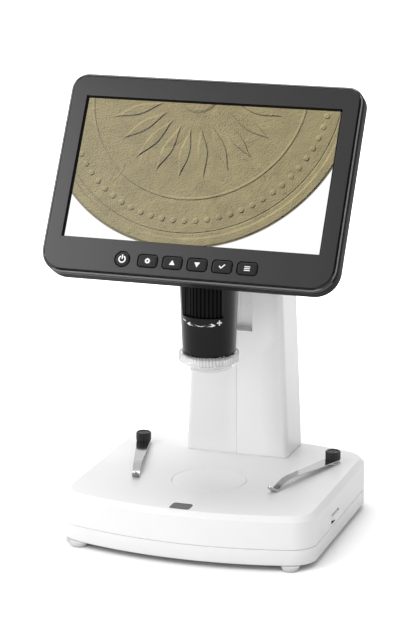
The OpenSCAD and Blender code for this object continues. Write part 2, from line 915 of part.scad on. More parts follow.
module focus_knob(side) {
    color("black")
        translate([side * focus_knob_x(), pinion_y, pinion_z])
            rotate([0, side * 90, 0])
                difference() {
                    union() {
                        cylinder(r = focus_knob_r, h = focus_knob_w - 1.5, $fn = 96);
                        cylinder(r = focus_knob_r - 1.5, h = focus_knob_w, $fn = 96);
                    }
                    translate([0, 0, -eps])
                        cylinder(r = shaft_r, h = focus_knob_w - 4 + eps);
                    grooves(focus_knob_r + 0.6, 36, 1.1, focus_knob_w);
                    translate([0, 0, focus_knob_w - 1])
                        cylinder(r = focus_knob_r - 5, h = 2);
                }
}

module focus_knob_left() { focus_knob(-1); }
module focus_knob_right() { focus_knob(1); }

module carriage_block() {
    color("dimgray")
        difference() {
            translate([-block_hw, slide_y, rack_low])
                cube([2 * block_hw, block_t, rack_high - rack_low]);
            for (x = [-rod_x, rod_x])
                translate([x, rod_y, rack_low - eps])
                    cylinder(r = rod_r + fit, h = rack_high - rack_low + 2 * eps);
            // Groove for the rack
            translate([-rack_hw, slide_y + block_t - rack_base, rack_low - eps])
                cube([2 * rack_hw, rack_base + 1, rack_high - rack_low + 2 * eps]);
            each_carriage_screw() {
                cylinder(r = screw_hole_r, h = 20);
                cylinder(r = screw_head_r + 0.2, h = screw_head_h);
            }
        }
}

// Screws run forward from the rack groove into the head arm
module each_carriage_screw() {
    for (z = [stem_low + 5, flange_high - 5])
        translate([0, slide_y + block_t - rack_base, z])
            rotate([90, 0, 0])
                children();
}

module gear_rack() {
    pitch = PI * tooth_module;
    count = floor((rack_high - pinion_z - 1) / pitch);
    below = floor((pinion_z - rack_low - 1) / pitch);
    y0 = slide_y + block_t - rack_base;
    color("silver")
        intersection() {
            union() {
                translate([-rack_hw, y0, rack_low])
                    cube([2 * rack_hw, rack_base, rack_high - rack_low]);
                for (i = [-below - 1 : count])
                    translate([-rack_hw, 0, pinion_z + (i + 0.5) * pitch])
                        rotate([90, 0, 90])
                            linear_extrude(2 * rack_hw)
                                polygon([[y0 + rack_base - eps, -0.34 * pitch],
                                    [rack_pitch_y + tooth_out, -0.1 * pitch],
                                    [rack_pitch_y + tooth_out, 0.1 * pitch],
                                    [y0 + rack_base - eps, 0.34 * pitch]]);
            }
            translate([-rack_hw, y0, rack_low])
                cube([2 * rack_hw, 10, rack_high - rack_low]);
        }
}

module carriage_screws() {
    color("silver")
        each_carriage_screw()
            translate([0, 0, screw_head_h])
                screw(11);
}

// ---------------------------------------------------------------- head

// Side profile of the head: a sloped front behind the screen, a flat top, a sloped back
module head_profile(inset) {
    polygon([[head_front_low + inset, barrel_top + inset],
        [head_front_top + inset * 1.1, head_top - cover_t],
        [30 - inset, head_top - cover_t],
        [column_y - 2 - inset, stem_low - 4],
        [column_y - 2 - inset, barrel_top + inset]]);
}

module across(hw) {
    rotate([90, 0, 90])
        translate([0, 0, -hw])
            linear_extrude(2 * hw)
                children();
}

module head_arm() {
    color("black")
        difference() {
            union() {
                difference() {
                    union() {
                        intersection() {
                            across(head_hw)
                                head_profile(0);
                            union() {
                                translate([0, 0, barrel_top - 1])
                                    cylinder(r = head_hw, h = 80, $fn = 96);
                                translate([-head_hw, 0, barrel_top - 1])
                                    cube([2 * head_hw, 80, 80]);
                            }
                        }
                    }
                    // Hollow for the camera board
                    intersection() {
                        across(head_hw - head_wall)
                            head_profile(head_wall);
                        translate([-50, head_front_low, 0])
                            cube([100, 30 - head_front_low + 8, 400]);
                    }
                }
                // Foot that runs in the slide channel, and its stem through the slot
                translate([-channel_w / 2 + gap, column_y - 2 - eps, flange_low])
                    cube([channel_w - 2 * gap, channel_d + 2 - gap, flange_high - flange_low]);
                translate([-stem_hw, column_y, stem_low])
                    cube([2 * stem_hw, slide_y - column_y, flange_high - stem_low]);
                // Rib under the arm
                translate([-4, 0, 0])
                    rotate([90, 0, 90])
                        linear_extrude(8)
                            polygon([[column_y - 14, barrel_top + eps], [column_y - 1.9, flange_low],
                                [column_y - 1.9, barrel_top + eps]]);
                // Posts for the camera board
                for (x = [-1, 1], y = [-1, 1])
                    translate([x * 10.5, y * 10.5, barrel_top + head_wall - eps])
                        cylinder(r = 1.8, h = 3.5);
            }
            // Light path down the barrel
            translate([0, 0, barrel_top - eps])
                cylinder(r = 7.5, h = head_wall + 2 * eps);
            each_carriage_screw()
                cylinder(r = screw_r, h = 14);
        }
}

// Lid of the head with the knuckle of the screen hinge
module head_cover() {
    low_y = head_front_top;
    color("black")
        difference() {
            union() {
                intersection() {
                    translate([-head_hw, low_y, head_top - cover_t])
                        cube([2 * head_hw, 30 - low_y, cover_t]);
                    union() {
                        translate([0, 0, head_top - cover_t])
                            cylinder(r = head_hw, h = cover_t, $fn = 96);
                        translate([-head_hw, 0, head_top - cover_t])
                            cube([2 * head_hw, 40, cover_t]);
                    }
                }
                translate([-knuckle_hw, hinge_my, hinge_mz])
                    rotate([0, 90, 0])
                        cylinder(r = knuckle_r, h = 2 * knuckle_hw);
                translate([-knuckle_hw, hinge_my - knuckle_r, head_top - eps])
                    cube([2 * knuckle_hw, 2 * knuckle_r, hinge_mz - head_top]);
            }
            translate([-knuckle_hw - 1, hinge_my, hinge_mz])
                rotate([0, 90, 0])
                    cylinder(r = hinge_r + fit, h = 2 * knuckle_hw + 2);
        }
}

module barrel_housing() {
    notch_turn = 10;
    color("black")
        difference() {
            translate([0, 0, barrel_z])
                cylinder(r1 = barrel_low_r, r2 = barrel_high_r, h = barrel_top - barrel_z, $fn = 96);
            translate([0, 0, barrel_z - eps])
                cylinder(r = lip_r, h = 40, $fn = 96);
            translate([0, 0, led_board_z])
                cylinder(r = lip_r + 0.8, h = drum_seat_z - led_board_z - 2.5, $fn = 96);
            translate([0, 0, drum_seat_z])
                cylinder(r = drum_r + 0.4, h = 60, $fn = 96);
            // Window in front of the drum
            translate([0, 0, table_z + drum_window_low])
                intersection() {
                    cylinder(r = 30, h = drum_window_h);
                    rotate([0, 0, -90])
                        linear_extrude(drum_window_h)
                            polygon([[0, 0], [40, -40 * tan(drum_window_half)],
                                [40, 40 * tan(drum_window_half)]]);
                }
            // Notch for the cap
            rotate([0, 0, notch_turn])
                translate([barrel_low_r - 1, -1.1, barrel_z - eps])
                    cube([3, 2.2, 3.6]);
        }
}

// Fixed tube with two straight slots that keep the lens cell from turning
module guide_tube() {
    color("dimgray")
        difference() {
            union() {
                translate([0, 0, barrel_z + 11])
                    cylinder(r = tube_r, h = barrel_top - barrel_z - 11);
                translate([0, 0, drum_high + 0.4])
                    cylinder(r = drum_r - 0.6, h = barrel_top - drum_high - 0.4);
            }
            translate([0, 0, barrel_z])
                cylinder(r = cell_r + 0.06, h = barrel_top - barrel_z - 2);
            translate([0, 0, barrel_z])
                cylinder(r = 7.5, h = 80);
            translate([-20, -drive_pin_r - 0.1, lens_mid_z - lens_half_travel - drive_pin_r - 0.2])
                cube([40, 2 * (drive_pin_r + 0.1), 2 * (lens_half_travel + drive_pin_r + 0.2)]);
        }
}

module camera_board() {
    board_z = barrel_top + head_wall + 3.5;
    color("seagreen") {
        translate([-12.5, -12.5 + 1.5, board_z])
            cube([25, 25, board_t]);
        translate([-7, -7, board_z - 2.2])
            cube([14, 14, 2.2 + eps]);
        translate([-5, 2, board_z + board_t - eps])
            cube([10, 6, 1.8]);
    }
}

module led_board() {
    color("seagreen") {
        translate([0, 0, led_board_z])
            tube(lip_r + 0.7, 9.6, board_t);
        for (turn = [0 : 45 : 315])
            rotate([0, 0, turn])
                translate([11.4, 0, led_board_z - 1.2])
                    cylinder(r = 1.3, h = 1.2 + eps);
    }
}

// ---------------------------------------------------------------- focusing drum and lens

module focus_drum() {
    color("black")
        translate([0, 0, drum_low])
            difference() {
                union() {
                    cylinder(r = drum_r - 0.7, h = drum_high - drum_low, $fn = 96);
                    for (i = [0 : drum_ribs - 1])
                        rotate([0, 0, i * 360 / drum_ribs])
                            translate([drum_r - 1.2, -0.5, 0])
                                cube([1.2, 1, drum_high - drum_low]);
                }
                translate([0, 0, -eps])
                    cylinder(r = sleeve_r, h = drum_high - drum_low + 2 * eps, $fn = 96);
            }
}

// Sleeve inside the drum, with two helical grooves that move the lens cell's pins
module cam_sleeve() {
    reach = lens_half_travel + drive_pin_r + 0.15;
    turn_per_mm = drum_half_turn / lens_half_travel;
    half = turn_per_mm * (drive_pin_r + 0.15);
    groove_r = tube_r + gap + 1.5;
    color("goldenrod")
        difference() {
            translate([0, 0, drum_low])
                tube(sleeve_r, tube_r + gap, drum_high - drum_low);
            for (turn = [0, 180])
                rotate([0, 0, turn + turn_per_mm * reach])
                    translate([0, 0, lens_mid_z - reach])
                        linear_extrude(2 * reach, twist = 2 * turn_per_mm * reach, slices = 36)
                            polygon(concat(arc(0, 0, groove_r, -half, half, 6),
                                arc(0, 0, tube_r - 1, half, -half, 1)));
        }
}

module lens_cell() {
    pin_reach = tube_r + gap + 1.2;
    cell_h = 26;
    color("black")
        translate([0, 0, lens_mid_z]) {
            difference() {
                translate([0, 0, -cell_h + 6])
                    cylinder(r = cell_r, h = cell_h);
                translate([0, 0, -cell_h + 6 - eps])
                    cylinder(r = 6, h = cell_h + 2 * eps);
                translate([0, 0, -cell_h + 6 - eps])
                    cylinder(r = 7.5, h = 4);
            }
            for (side = [-1, 1])
                rotate([0, side * 90, 0])
                    translate([0, 0, 7])
                        cylinder(r = drive_pin_r, h = pin_reach - 7);
        }
}

module front_lens() {
    cell_h = 26;
    color("lightblue")
        translate([0, 0, lens_mid_z - cell_h + 6 + 0.6])
            cylinder(r = 7.5, h = 3.4 - eps);
}

module clear_cap() {
    color("aliceblue")
        difference() {
            union() {
                translate([0, 0, cap_shoulder])
                    cylinder(r = cap_rim_r, h = cap_rim_h, $fn = 96);
                translate([0, 0, cap_bottom + 1])
                    cylinder(r = cap_low_r, h = cap_low_h, $fn = 96);
                translate([0, 0, cap_bottom])
                    cylinder(r1 = cap_low_r - 1, r2 = cap_low_r, h = 1, $fn = 96);
            }
            translate([0, 0, cap_shoulder + cap_wall])
                cylinder(r = cap_inner_r, h = cap_rim_h, $fn = 96);
            translate([0, 0, cap_bottom + cap_wall])
                cylinder(r = cap_low_r - cap_wall, h = 20, $fn = 96);
            translate([0, 0, cap_shoulder])
                grooves(cap_rim_r + 0.25, 48, 0.6, cap_rim_h);
        }
}

// ---------------------------------------------------------------- screen unit

module button_cutouts(grow) {
    for (x = button_x)
        translate([x, -button_row])
            round_rect(button_size[0] + 2 * grow, button_size[1] + 2 * grow, 1.6 + grow);
    translate([power_x, -button_row])
        circle(power_r + grow);
}

module front_bezel() {
    color("darkslategray")
        on_screen()
            difference() {
                union() {
                    difference() {
                        hull() {
                            slab(-bezel_out, -bezel_out + 0.1)
                                case_outline(0.7);
                            slab(-bezel_out + 0.7, bezel_rim)
                                case_outline(0);
                        }
                        slab(0, bezel_rim + 1)
                            case_outline(case_wall);
                    }
                    for (p = case_boss)
                        bar(p[0], p[1], case_boss_r, -0.1, 3);
                    for (x = [power_x - 7, button_x[4] + 8.6])
                        bar(x, -button_row - 3, 1.8, -0.1, button_board_y);
                }
                // Picture opening and its bevel
                slab(-bezel_out - 1, 1)
                    square([lcd_w + 2 * opening_margin, lcd_h + 2 * opening_margin], center = true);
                slab(-bezel_out - 1, 1)
                    button_cutouts(button_gap);
                // Shallow groove round the face plate
                slab(-bezel_out - 1, -bezel_out + 0.7)
                    difference() {
                        case_outline(1.5);
                        case_outline(2.3);
                    }
                for (p = case_boss)
                    bar(p[0], p[1], 0.9, -0.6, 4);
            }
}

module rear_cover() {
    color("darkslategray")
        on_screen()
            difference() {
                union() {
                    difference() {
                        hull() {
                            slab(bezel_rim, case_back - 4)
                                case_outline(0);
                            slab(case_back - 1.2, case_back - 1)
                                case_outline(1.6);
                            slab(case_back - 0.1, case_back)
                                case_outline(4.5);
                        }
                        hull() {
                            slab(bezel_rim - 1, case_inner - 3)
                                case_outline(case_wall);
                            slab(case_inner - 0.1, case_inner)
                                case_outline(case_wall + 2.5);
                        }
                    }
                    for (p = case_boss)
                        bar(p[0], p[1], case_boss_r, 3, case_inner + 0.1);
                    // Posts that press the picture panel forward
                    for (x = [6.5 - panel_hw, panel_hw - 6.5], z = [-38, 38])
                        bar(x, z, 3, glass_t + backlight_t, case_inner + 0.1);
                    // Posts for the main board
                    for (x = [main_board_left + 15.5, main_board_right - 8], z = [-24, 24])
                        bar(x, z, 2.5, main_board_y + board_t, case_inner + 0.1);
                }
                for (p = case_boss) {
                    bar(p[0], p[1], 1.1, 2, case_back + 1);
                    bar(p[0], p[1], 2, case_back - 1.6, case_back + 1);
                }
                // Openings for the sockets in the left wall
                translate([-case_hw - 1, main_board_y + board_t, 6])
                    cube([6, 2.9, 9]);
                translate([-case_hw - 1, main_board_y + board_t, -20])
                    cube([6, 2.2, 14]);
                // Vent slots in the back
                for (i = [-4 : 4])
                    translate([i * 7 - 1, case_inner - 1, 28])
                        cube([2, case_wall + 2, 16]);
                each_bracket_screw()
                    cylinder(r = bracket_screw_r, h = 20);
            }
}

module lcd_panel() {
    color("khaki")
        on_screen()
            translate([-panel_hw, 0, -panel_down])
                cube([2 * panel_hw, glass_t, panel_up + panel_down]);
}

module lcd_backlight() {
    color("silver")
        on_screen()
            translate([-panel_hw, glass_t, -panel_down])
                cube([2 * panel_hw, backlight_t, panel_up + panel_down]);
}

module main_board() {
    color("seagreen")
        on_screen() {
            translate([main_board_left, main_board_y, -27])
                cube([main_board_right - main_board_left, board_t, 54]);
            translate([-30, main_board_y + board_t - eps, -8])
                cube([14, 1.4, 14]);
            translate([-6, main_board_y + board_t - eps, 2])
                cube([10, 1.2, 8]);
        }
}

module screen_sockets() {
    color("silver")
        on_screen() {
            difference() {
                translate([-case_hw + 1, main_board_y + board_t, 6.3])
                    cube([7, 2.6, 8.4]);
                translate([-case_hw, main_board_y + board_t + 0.4, 6.8])
                    cube([5.5, 1.8, 7.4]);
            }
            difference() {
                translate([-case_hw + 1, main_board_y + board_t, -19.7])
                    cube([15, 1.9, 13.4]);
                translate([-case_hw, main_board_y + board_t + 0.4, -18.6])
                    cube([14, 1, 11.2]);
            }
        }
}

module button_board() {
    low_x = power_x - 9;
    color("seagreen")
        on_screen() {
            translate([low_x, button_board_y, -button_row - 5])
                cube([button_x[4] + 10 - low_x, board_t, 10]);
            for (x = concat([power_x], button_x))
                translate([x - 2.2, 2.1, -button_row - 2.2])
                    cube([4.4, 1.2 + eps, 4.4]);
        }
}

module screen_screws() {
    color("silver")
        on_screen()
            for (p = case_boss)
                translate([p[0], case_back - 1.6, p[1]])
                    rotate([90, 0, 0])
                        screw(case_back - 1.6, head_r = 1.8, head_h = 1.2, shank_r = 0.9);
}

// Screws run forward from the bracket plate into the rear cover
module each_bracket_screw() {
    for (x = [-1, 1], z = [-1, 1])
        translate([x * (bracket_hw - 5), case_back + bracket_t, hinge_up + z * 12])
            rotate([90, 0, 0])
                children();
}

module bracket_screws() {
    color("silver")
        on_screen()
            each_bracket_screw()
                screw(bracket_t + case_wall, head_r = 1.9, head_h = 1, shank_r = bracket_screw_r);
}

// Steel plate on the back of the casing with the two ears of the hinge
module screen_bracket() {
    ear_x = knuckle_hw + gap;
    color("dimgray")
        on_screen()
            difference() {
                union() {
                    translate([-bracket_hw, case_back, hinge_up - 16])
                        cube([2 * bracket_hw, bracket_t, 32]);
                    for (side = [-1, 1])
                        translate([side > 0 ? ear_x : -ear_x - ear_t, 0, 0]) {
                            translate([0, case_back, hinge_up - ear_r])
                                cube([ear_t, hinge_back, 2 * ear_r]);
                            translate([0, hinge_y, hinge_up])
                                rotate([0, 90, 0])
                                    cylinder(r = ear_r, h = ear_t);
                        }
                }
                translate([-40, hinge_y, hinge_up])
                    rotate([0, 90, 0])
                        cylinder(r = hinge_r, h = 80);
                each_bracket_screw()
                    cylinder(r = bracket_screw_r, h = 20);
            }
}

module hinge_pin() {
    hw = knuckle_hw + gap + ear_t + 1;
    color("silver")
        on_screen()
            translate([-hw, hinge_y, hinge_up])
                rotate([0, 90, 0])
                    cylinder(r = hinge_r, h = 2 * hw);
}

// A button: cap through the bezel, flange behind it and a plunger for its switch
module push_button(x) {
    color("black")
        on_screen() {
            translate([x, 0, -button_row]) {
                slab(-bezel_out - 0.3, 0.2)
                    round_rect(button_size[0], button_size[1], 1.6);
                slab(0.1, 0.9)
                    round_rect(button_size[0] + 1.2, button_size[1] + 1.2, 2.2);
            }
            bar(x, -button_row, 1.5, 0.8, 2.1 - 0.1 - button_travel);
        }
}

module power_button() {
    color("black")
        on_screen() {
            bar(power_x, -button_row, power_r, -bezel_out - 0.3, 0.2);
            bar(power_x, -button_row, power_r + 0.6, 0.1, 0.9);
            bar(power_x, -button_row, 1.5, 0.8, 2.1 - 0.1 - button_travel);
        }
}

module function_button() { push_button(button_x[0]); }
module up_button() { push_button(button_x[1]); }
module down_button() { push_button(button_x[2]); }
module ok_button() { push_button(button_x[3]); }
module menu_button() { push_button(button_x[4]); }

// ---------------------------------------------------------------- assembly

base_top_cover();
base_bottom_cover();
feet();
base_screws();
stage_window();
light_cup();
light_board();
ballast_plate();
control_board();
dimmer_pot();
power_socket();
badge_plate();
clip_bushes();
column_left_shell();
column_right_shell();
column_screws();
guide_rods();
rod_holders();
shaft_bushes();
dimmer_wheel();
clip_strip_left();
clip_knob_left();
clip_pin_left();
clip_strip_right();
clip_knob_right();
clip_pin_right();
pinion_shaft();
focus_knob_left();
focus_knob_right();
carriage_block();
gear_rack();
carriage_screws();
head_arm();
head_cover();
barrel_housing();
guide_tube();
camera_board();
led_board();
focus_drum();
cam_sleeve();
lens_cell();
front_lens();
clear_cap();
front_bezel();
rear_cover();
lcd_panel();
lcd_backlight();
main_board();
button_board();
screen_sockets();
screen_screws();
screen_bracket();
bracket_screws();
hinge_pin();
power_button();
function_button();
up_button();
down_button();
ok_button();
menu_button();
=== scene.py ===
import json
import math
import bmesh
import bpy
from mathutils import Matrix, Vector

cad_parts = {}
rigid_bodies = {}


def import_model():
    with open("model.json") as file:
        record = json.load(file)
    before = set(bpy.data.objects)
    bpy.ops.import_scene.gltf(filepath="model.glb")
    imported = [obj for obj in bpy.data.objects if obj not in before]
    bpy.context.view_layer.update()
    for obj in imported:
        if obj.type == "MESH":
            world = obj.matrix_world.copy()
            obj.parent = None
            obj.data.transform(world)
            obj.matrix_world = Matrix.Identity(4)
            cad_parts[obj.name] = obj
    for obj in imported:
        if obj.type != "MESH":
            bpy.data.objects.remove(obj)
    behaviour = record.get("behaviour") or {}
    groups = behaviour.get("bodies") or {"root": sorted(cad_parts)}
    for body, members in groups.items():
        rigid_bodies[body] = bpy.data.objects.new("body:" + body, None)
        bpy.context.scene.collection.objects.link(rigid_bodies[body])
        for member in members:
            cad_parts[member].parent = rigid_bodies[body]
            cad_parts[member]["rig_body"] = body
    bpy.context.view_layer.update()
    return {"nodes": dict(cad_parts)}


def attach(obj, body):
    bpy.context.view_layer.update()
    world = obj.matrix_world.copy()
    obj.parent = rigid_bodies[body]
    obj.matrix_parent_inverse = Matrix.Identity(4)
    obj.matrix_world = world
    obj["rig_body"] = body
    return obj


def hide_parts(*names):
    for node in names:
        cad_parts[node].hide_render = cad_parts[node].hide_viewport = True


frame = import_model()
nodes = frame["nodes"]
scene = bpy.context.scene
mm = 0.001  # sizes below are in millimetres
print("frame loaded:", len(nodes), "nodes")

# camera, fitted to the picture area and the level base
cameraSpec = {"azimuth": 18.6, "elevation": 14.53, "target": (-0.5, -0.4, 104.4),
              "distance": 1392.8, "lens": 135.87}
azimuth, elevation = math.radians(cameraSpec["azimuth"]), math.radians(cameraSpec["elevation"])
towardCamera = Vector((math.sin(azimuth) * math.cos(elevation),
                       -math.cos(azimuth) * math.cos(elevation), math.sin(elevation)))
cameraData = bpy.data.cameras.new("camera")
cameraData.sensor_width = 36
cameraData.lens = cameraSpec["lens"]
cameraData.clip_start = 0.05
camera = bpy.data.objects.new("camera", cameraData)
camera.location = (Vector(cameraSpec["target"]) + towardCamera * cameraSpec["distance"]) * mm
camera.rotation_euler = (-towardCamera).to_track_quat("-Z", "Y").to_euler()
scene.collection.objects.link(camera)
scene.camera = camera


# mesh making: a part is (verts in mm, faces)
def arcPoints(cx, cy, radius, start, end, steps):
    angles = [math.radians(start + (end - start) * i / steps) for i in range(steps + 1)]
    return [(cx + radius * math.cos(a), cy + radius * math.sin(a)) for a in angles]


def ringAt(outline, z):
    return [(x, y, z) for x, y in outline]


def loft(rings, caps=True, wrap=False):
    count = len(rings[0])
    verts = [p for ring in rings for p in ring]
    faces = []
    for i in range(len(rings) if wrap else len(rings) - 1):
        a, b = i * count, ((i + 1) % len(rings)) * count
        faces += [(a + j, a + (j + 1) % count, b + (j + 1) % count, b + j) for j in range(count)]
    if caps and not wrap:
        faces.append(tuple(reversed(range(count))))
        faces.append(tuple(range((len(rings) - 1) * count, len(rings) * count)))
    return verts, faces


def turned(profile, count=96, wrap=False, ripple=None):
    rings = []
    for radius, z in profile:
        ring = []
        for i in range(count):
            angle = 2 * math.pi * i / count
            r = radius - (ripple(angle, radius, z) if ripple else 0)
            ring.append((r * math.cos(angle), r * math.sin(angle), z))
        rings.append(ring)
    return loft(rings, wrap=wrap)


def joined(*parts):
    verts, faces = [], []
    for partVerts, partFaces in parts:
        faces += [tuple(i + len(verts) for i in face) for face in partFaces]
        verts += partVerts
    return verts, faces


def placed(part, matrix):
    return [tuple(matrix @ Vector(v)) for v in part[0]], part[1]


def shifted(part, x, y, z):
    return placed(part, Matrix.Translation((x, y, z)))


def turnAt(x, y, z, degrees, axis):
    return Matrix.Translation((x, y, z)) @ Matrix.Rotation(math.radians(degrees), 4, axis)


def boxPart(low, high):
    (x0, y0, z0), (x1, y1, z1) = low, high
    return loft([[(x0, y0, z), (x1, y0, z), (x1, y1, z), (x0, y1, z)] for z in (z0, z1)])


def prism(outline, low, high):
    return loft([ringAt(outline, low), ringAt(outline, high)])


def roundedBox(width, depth, radius, steps=6):
    w, d = width / 2 - radius, depth / 2 - radius
    corners = ((w, d, 0), (-w, d, 90), (-w, -d, 180), (w, -d, 270))
    return [p for cx, cy, start in corners for p in arcPoints(cx, cy, radius, start, start + 90, steps)]


def meshFrom(name, part):
    mesh = bpy.data.meshes.new(name)
    mesh.from_pydata([tuple(Vector(v) * mm) for v in part[0]], [], part[1])
    work = bmesh.new()
    work.from_mesh(mesh)
    bmesh.ops.remove_doubles(work, verts=work.verts, dist=1e-7)
    bmesh.ops.recalc_face_normals(work, faces=work.faces)
    work.to_mesh(mesh)
    work.free()
    return mesh


def applied(obj):
    bpy.context.view_layer.update()
    evaluated = obj.evaluated_get(bpy.context.evaluated_depsgraph_get())
    mesh = bpy.data.meshes.new_from_object(evaluated)
    obj.modifiers.clear()
    obj.data = mesh


def piece(name, part):
    obj = bpy.data.objects.new(name, meshFrom(name, part))
    scene.collection.objects.link(obj)
    return obj


def cut(obj, *cutters):
    for part in cutters:
        cutter = piece("cutter", part)
        modifier = obj.modifiers.new("cut", "BOOLEAN")
        modifier.solver = "EXACT"
        modifier.operation = "DIFFERENCE"
        modifier.object = cutter
        applied(obj)
        bpy.data.objects.remove(cutter)
    return obj


def softEdges(obj, width, segments=2, angle=40):
    modifier = obj.modifiers.new("bevel", "BEVEL")
    modifier.width = width * mm
    modifier.segments = segments
    modifier.limit_method = "ANGLE"
    modifier.angle_limit = math.radians(angle)
    modifier.use_clamp_overlap = True
    applied(obj)
    return obj


def dress(obj, material, body, replaced=(), sharp=38):
    obj.data.materials.clear()
    obj.data.materials.append(material)
    for polygon in obj.data.polygons:
        polygon.use_smooth = True
        polygon.material_index = 0
    obj.data.set_sharp_from_angle(angle=math.radians(sharp))
    modifier = obj.modifiers.new("evenNormals", "WEIGHTED_NORMAL")
    modifier.keep_sharp = True
    applied(obj)
    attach(obj, body)
    if replaced:
        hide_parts(*replaced)
    return obj


def refinish(obj, extras, choose):  # choose gives a material's number for a face's middle and normal
    for extra in extras:
        obj.data.materials.append(extra)
    for polygon in obj.data.polygons:
        polygon.material_index = int(choose(polygon.center / mm, polygon.normal))


def softened(node, material, width=0.35, segments=2, angle=38):
    source = nodes[node]
    obj = bpy.data.objects.new(node + "_shaped", source.data.copy())
    scene.collection.objects.link(obj)
    work = bmesh.new()
    work.from_mesh(obj.data)
    bmesh.ops.remove_doubles(work, verts=work.verts, dist=2e-6)
    bmesh.ops.dissolve_limit(work, angle_limit=math.radians(1), verts=work.verts, edges=work.edges)
    work.to_mesh(obj.data)
    work.free()
    softEdges(obj, width, segments, angle)
    return dress(obj, material, source["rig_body"], [node])


# surface effects shared by several materials
def feed(tree, socket, value):
    if isinstance(value, bpy.types.NodeSocket):
        tree.links.new(value, socket)
    else:
        socket.default_value = value


def setInputs(tree, node, **inputs):
    for label, value in inputs.items():
        feed(tree, node.inputs[label.replace("_", " ")], value)
    return node


def newNode(tree, kind, **inputs):
    return setInputs(tree, tree.nodes.new("ShaderNode" + kind), **inputs)


def mathNode(tree, operation, *values):
    node = newNode(tree, "Math")
    node.operation = operation
    for socket, value in zip(node.inputs, values):
        feed(tree, socket, value)
    return node.outputs[0]


def mixColor(tree, factor, a, b, blend="MIX"):
    node = newNode(tree, "Mix")
    node.data_type = "RGBA"
    node.blend_type = blend
    for index, value in ((0, factor), (6, a), (7, b)):
        feed(tree, node.inputs[index], value)
    return node.outputs[2]


def smoothRise(tree, value, start, end):
    node = newNode(tree, "MapRange", Value=value, From_Min=start, From_Max=end)
    node.interpolation_type = "SMOOTHSTEP"
    return node.outputs["Result"]


def newGroup(name, inputs):
    group = bpy.data.node_groups.new(name, "ShaderNodeTree")
    for label, kind, value in inputs:
        socket = group.interface.new_socket(label, in_out="INPUT", socket_type="NodeSocket" + kind)
        socket.default_value = value
    for label, kind in (("Color", "Color"), ("Roughness", "Float"), ("Normal", "Vector")):
        group.interface.new_socket(label, in_out="OUTPUT", socket_type="NodeSocket" + kind)
    return group, group.nodes.new("NodeGroupInput").outputs, group.nodes.new("NodeGroupOutput")


def finishGroup(group, given, end, color, texture, depth):
    centred = mathNode(group, "SUBTRACT", texture, 0.5)
    spread = mathNode(group, "MULTIPLY", centred, given["Roughness Spread"])
    bump = newNode(group, "Bump", Distance=depth, Height=texture)
    setInputs(group, end, Color=color, Roughness=mathNode(group, "ADD", given["Roughness"], spread),
              Normal=bump.outputs["Normal"])
    return group


def makeSkinGroup():
    group, given, end = newGroup("mouldedSkin", [
        ("Color", "Color", (0.8, 0.8, 0.8, 1)), ("Tint", "Color", (0.7, 0.7, 0.7, 1)),
        ("Edge Rub And Highlight Color", "Color", (1, 1, 1, 1)), ("Edge Rub And Highlight", "Float", 0.0), ("Grain Scale", "Float", 2500.0),
        ("Grain Depth", "Float", 0.00002), ("Roughness", "Float", 0.4), ("Roughness Spread", "Float", 0.1)])
    coords = newNode(group, "TexCoord").outputs["Object"]
    cloud = newNode(group, "TexNoise", Vector=coords, Scale=35, Detail=4).outputs["Fac"]
    grain = newNode(group, "TexNoise", Vector=coords, Scale=given["Grain Scale"], Detail=3).outputs["Fac"]
    clouded = mathNode(group, "MULTIPLY_ADD", cloud, 2.4, -0.7)
    tinted = mixColor(group, clouded, given["Color"], given["Tint"])
    # convex edges, found by pointiness, are lightened towards the edge colour: partly rubbed wear, partly a
    # painted highlight along the edges
    pointiness = newNode(group, "NewGeometry").outputs["Pointiness"]
    edge = mathNode(group, "MULTIPLY_ADD", pointiness, 18.0, -9.35)
    onEdge = mathNode(group, "MINIMUM", mathNode(group, "MAXIMUM", edge, 0.0), 1.0)
    rubAndHighlightMask = mathNode(group, "MULTIPLY", onEdge, given["Edge Rub And Highlight"])
    color = mixColor(group, rubAndHighlightMask, tinted, given["Edge Rub And Highlight Color"])
    return finishGroup(group, given, end, color, grain, given["Grain Depth"])


def makeMetalGroup():
    group, given, end = newGroup("drawnMetal", [
        ("Color", "Color", (0.6, 0.6, 0.6, 1)), ("Tint", "Color", (0.5, 0.5, 0.5, 1)),
        ("Streak Scale", "Vector", (900, 900, 40)), ("Streak Depth", "Float", 0.00001),
        ("Roughness", "Float", 0.3), ("Roughness Spread", "Float", 0.15)])
    stretch = newNode(group, "VectorMath")
    stretch.operation = "MULTIPLY"
    feed(group, stretch.inputs[0], newNode(group, "TexCoord").outputs["Object"])
    feed(group, stretch.inputs[1], given["Streak Scale"])
    streak = newNode(group, "TexNoise", Vector=stretch.outputs[0], Scale=1, Detail=5).outputs["Fac"]
    color = mixColor(group, streak, given["Color"], given["Tint"])
    return finishGroup(group, given, end, color, streak, given["Streak Depth"])


skinGroup, metalGroup = makeSkinGroup(), makeMetalGroup()


def grey(value):
    return (value, value, value, 1)


def newMaterial(name):
    made = bpy.data.materials.new(name)
    made.use_nodes = True
    return made, made.node_tree, made.node_tree.nodes["Principled BSDF"]


def material(name, group, values, **shader):
    made, tree, principled = newMaterial(name)
    effect = newNode(tree, "Group")
    effect.node_tree = group
    for label, value in values.items():
        effect.inputs[label].default_value = value
    setInputs(tree, principled, Base_Color=effect.outputs["Color"], Roughness=effect.outputs["Roughness"],
              Normal=effect.outputs["Normal"], **shader)
    return made


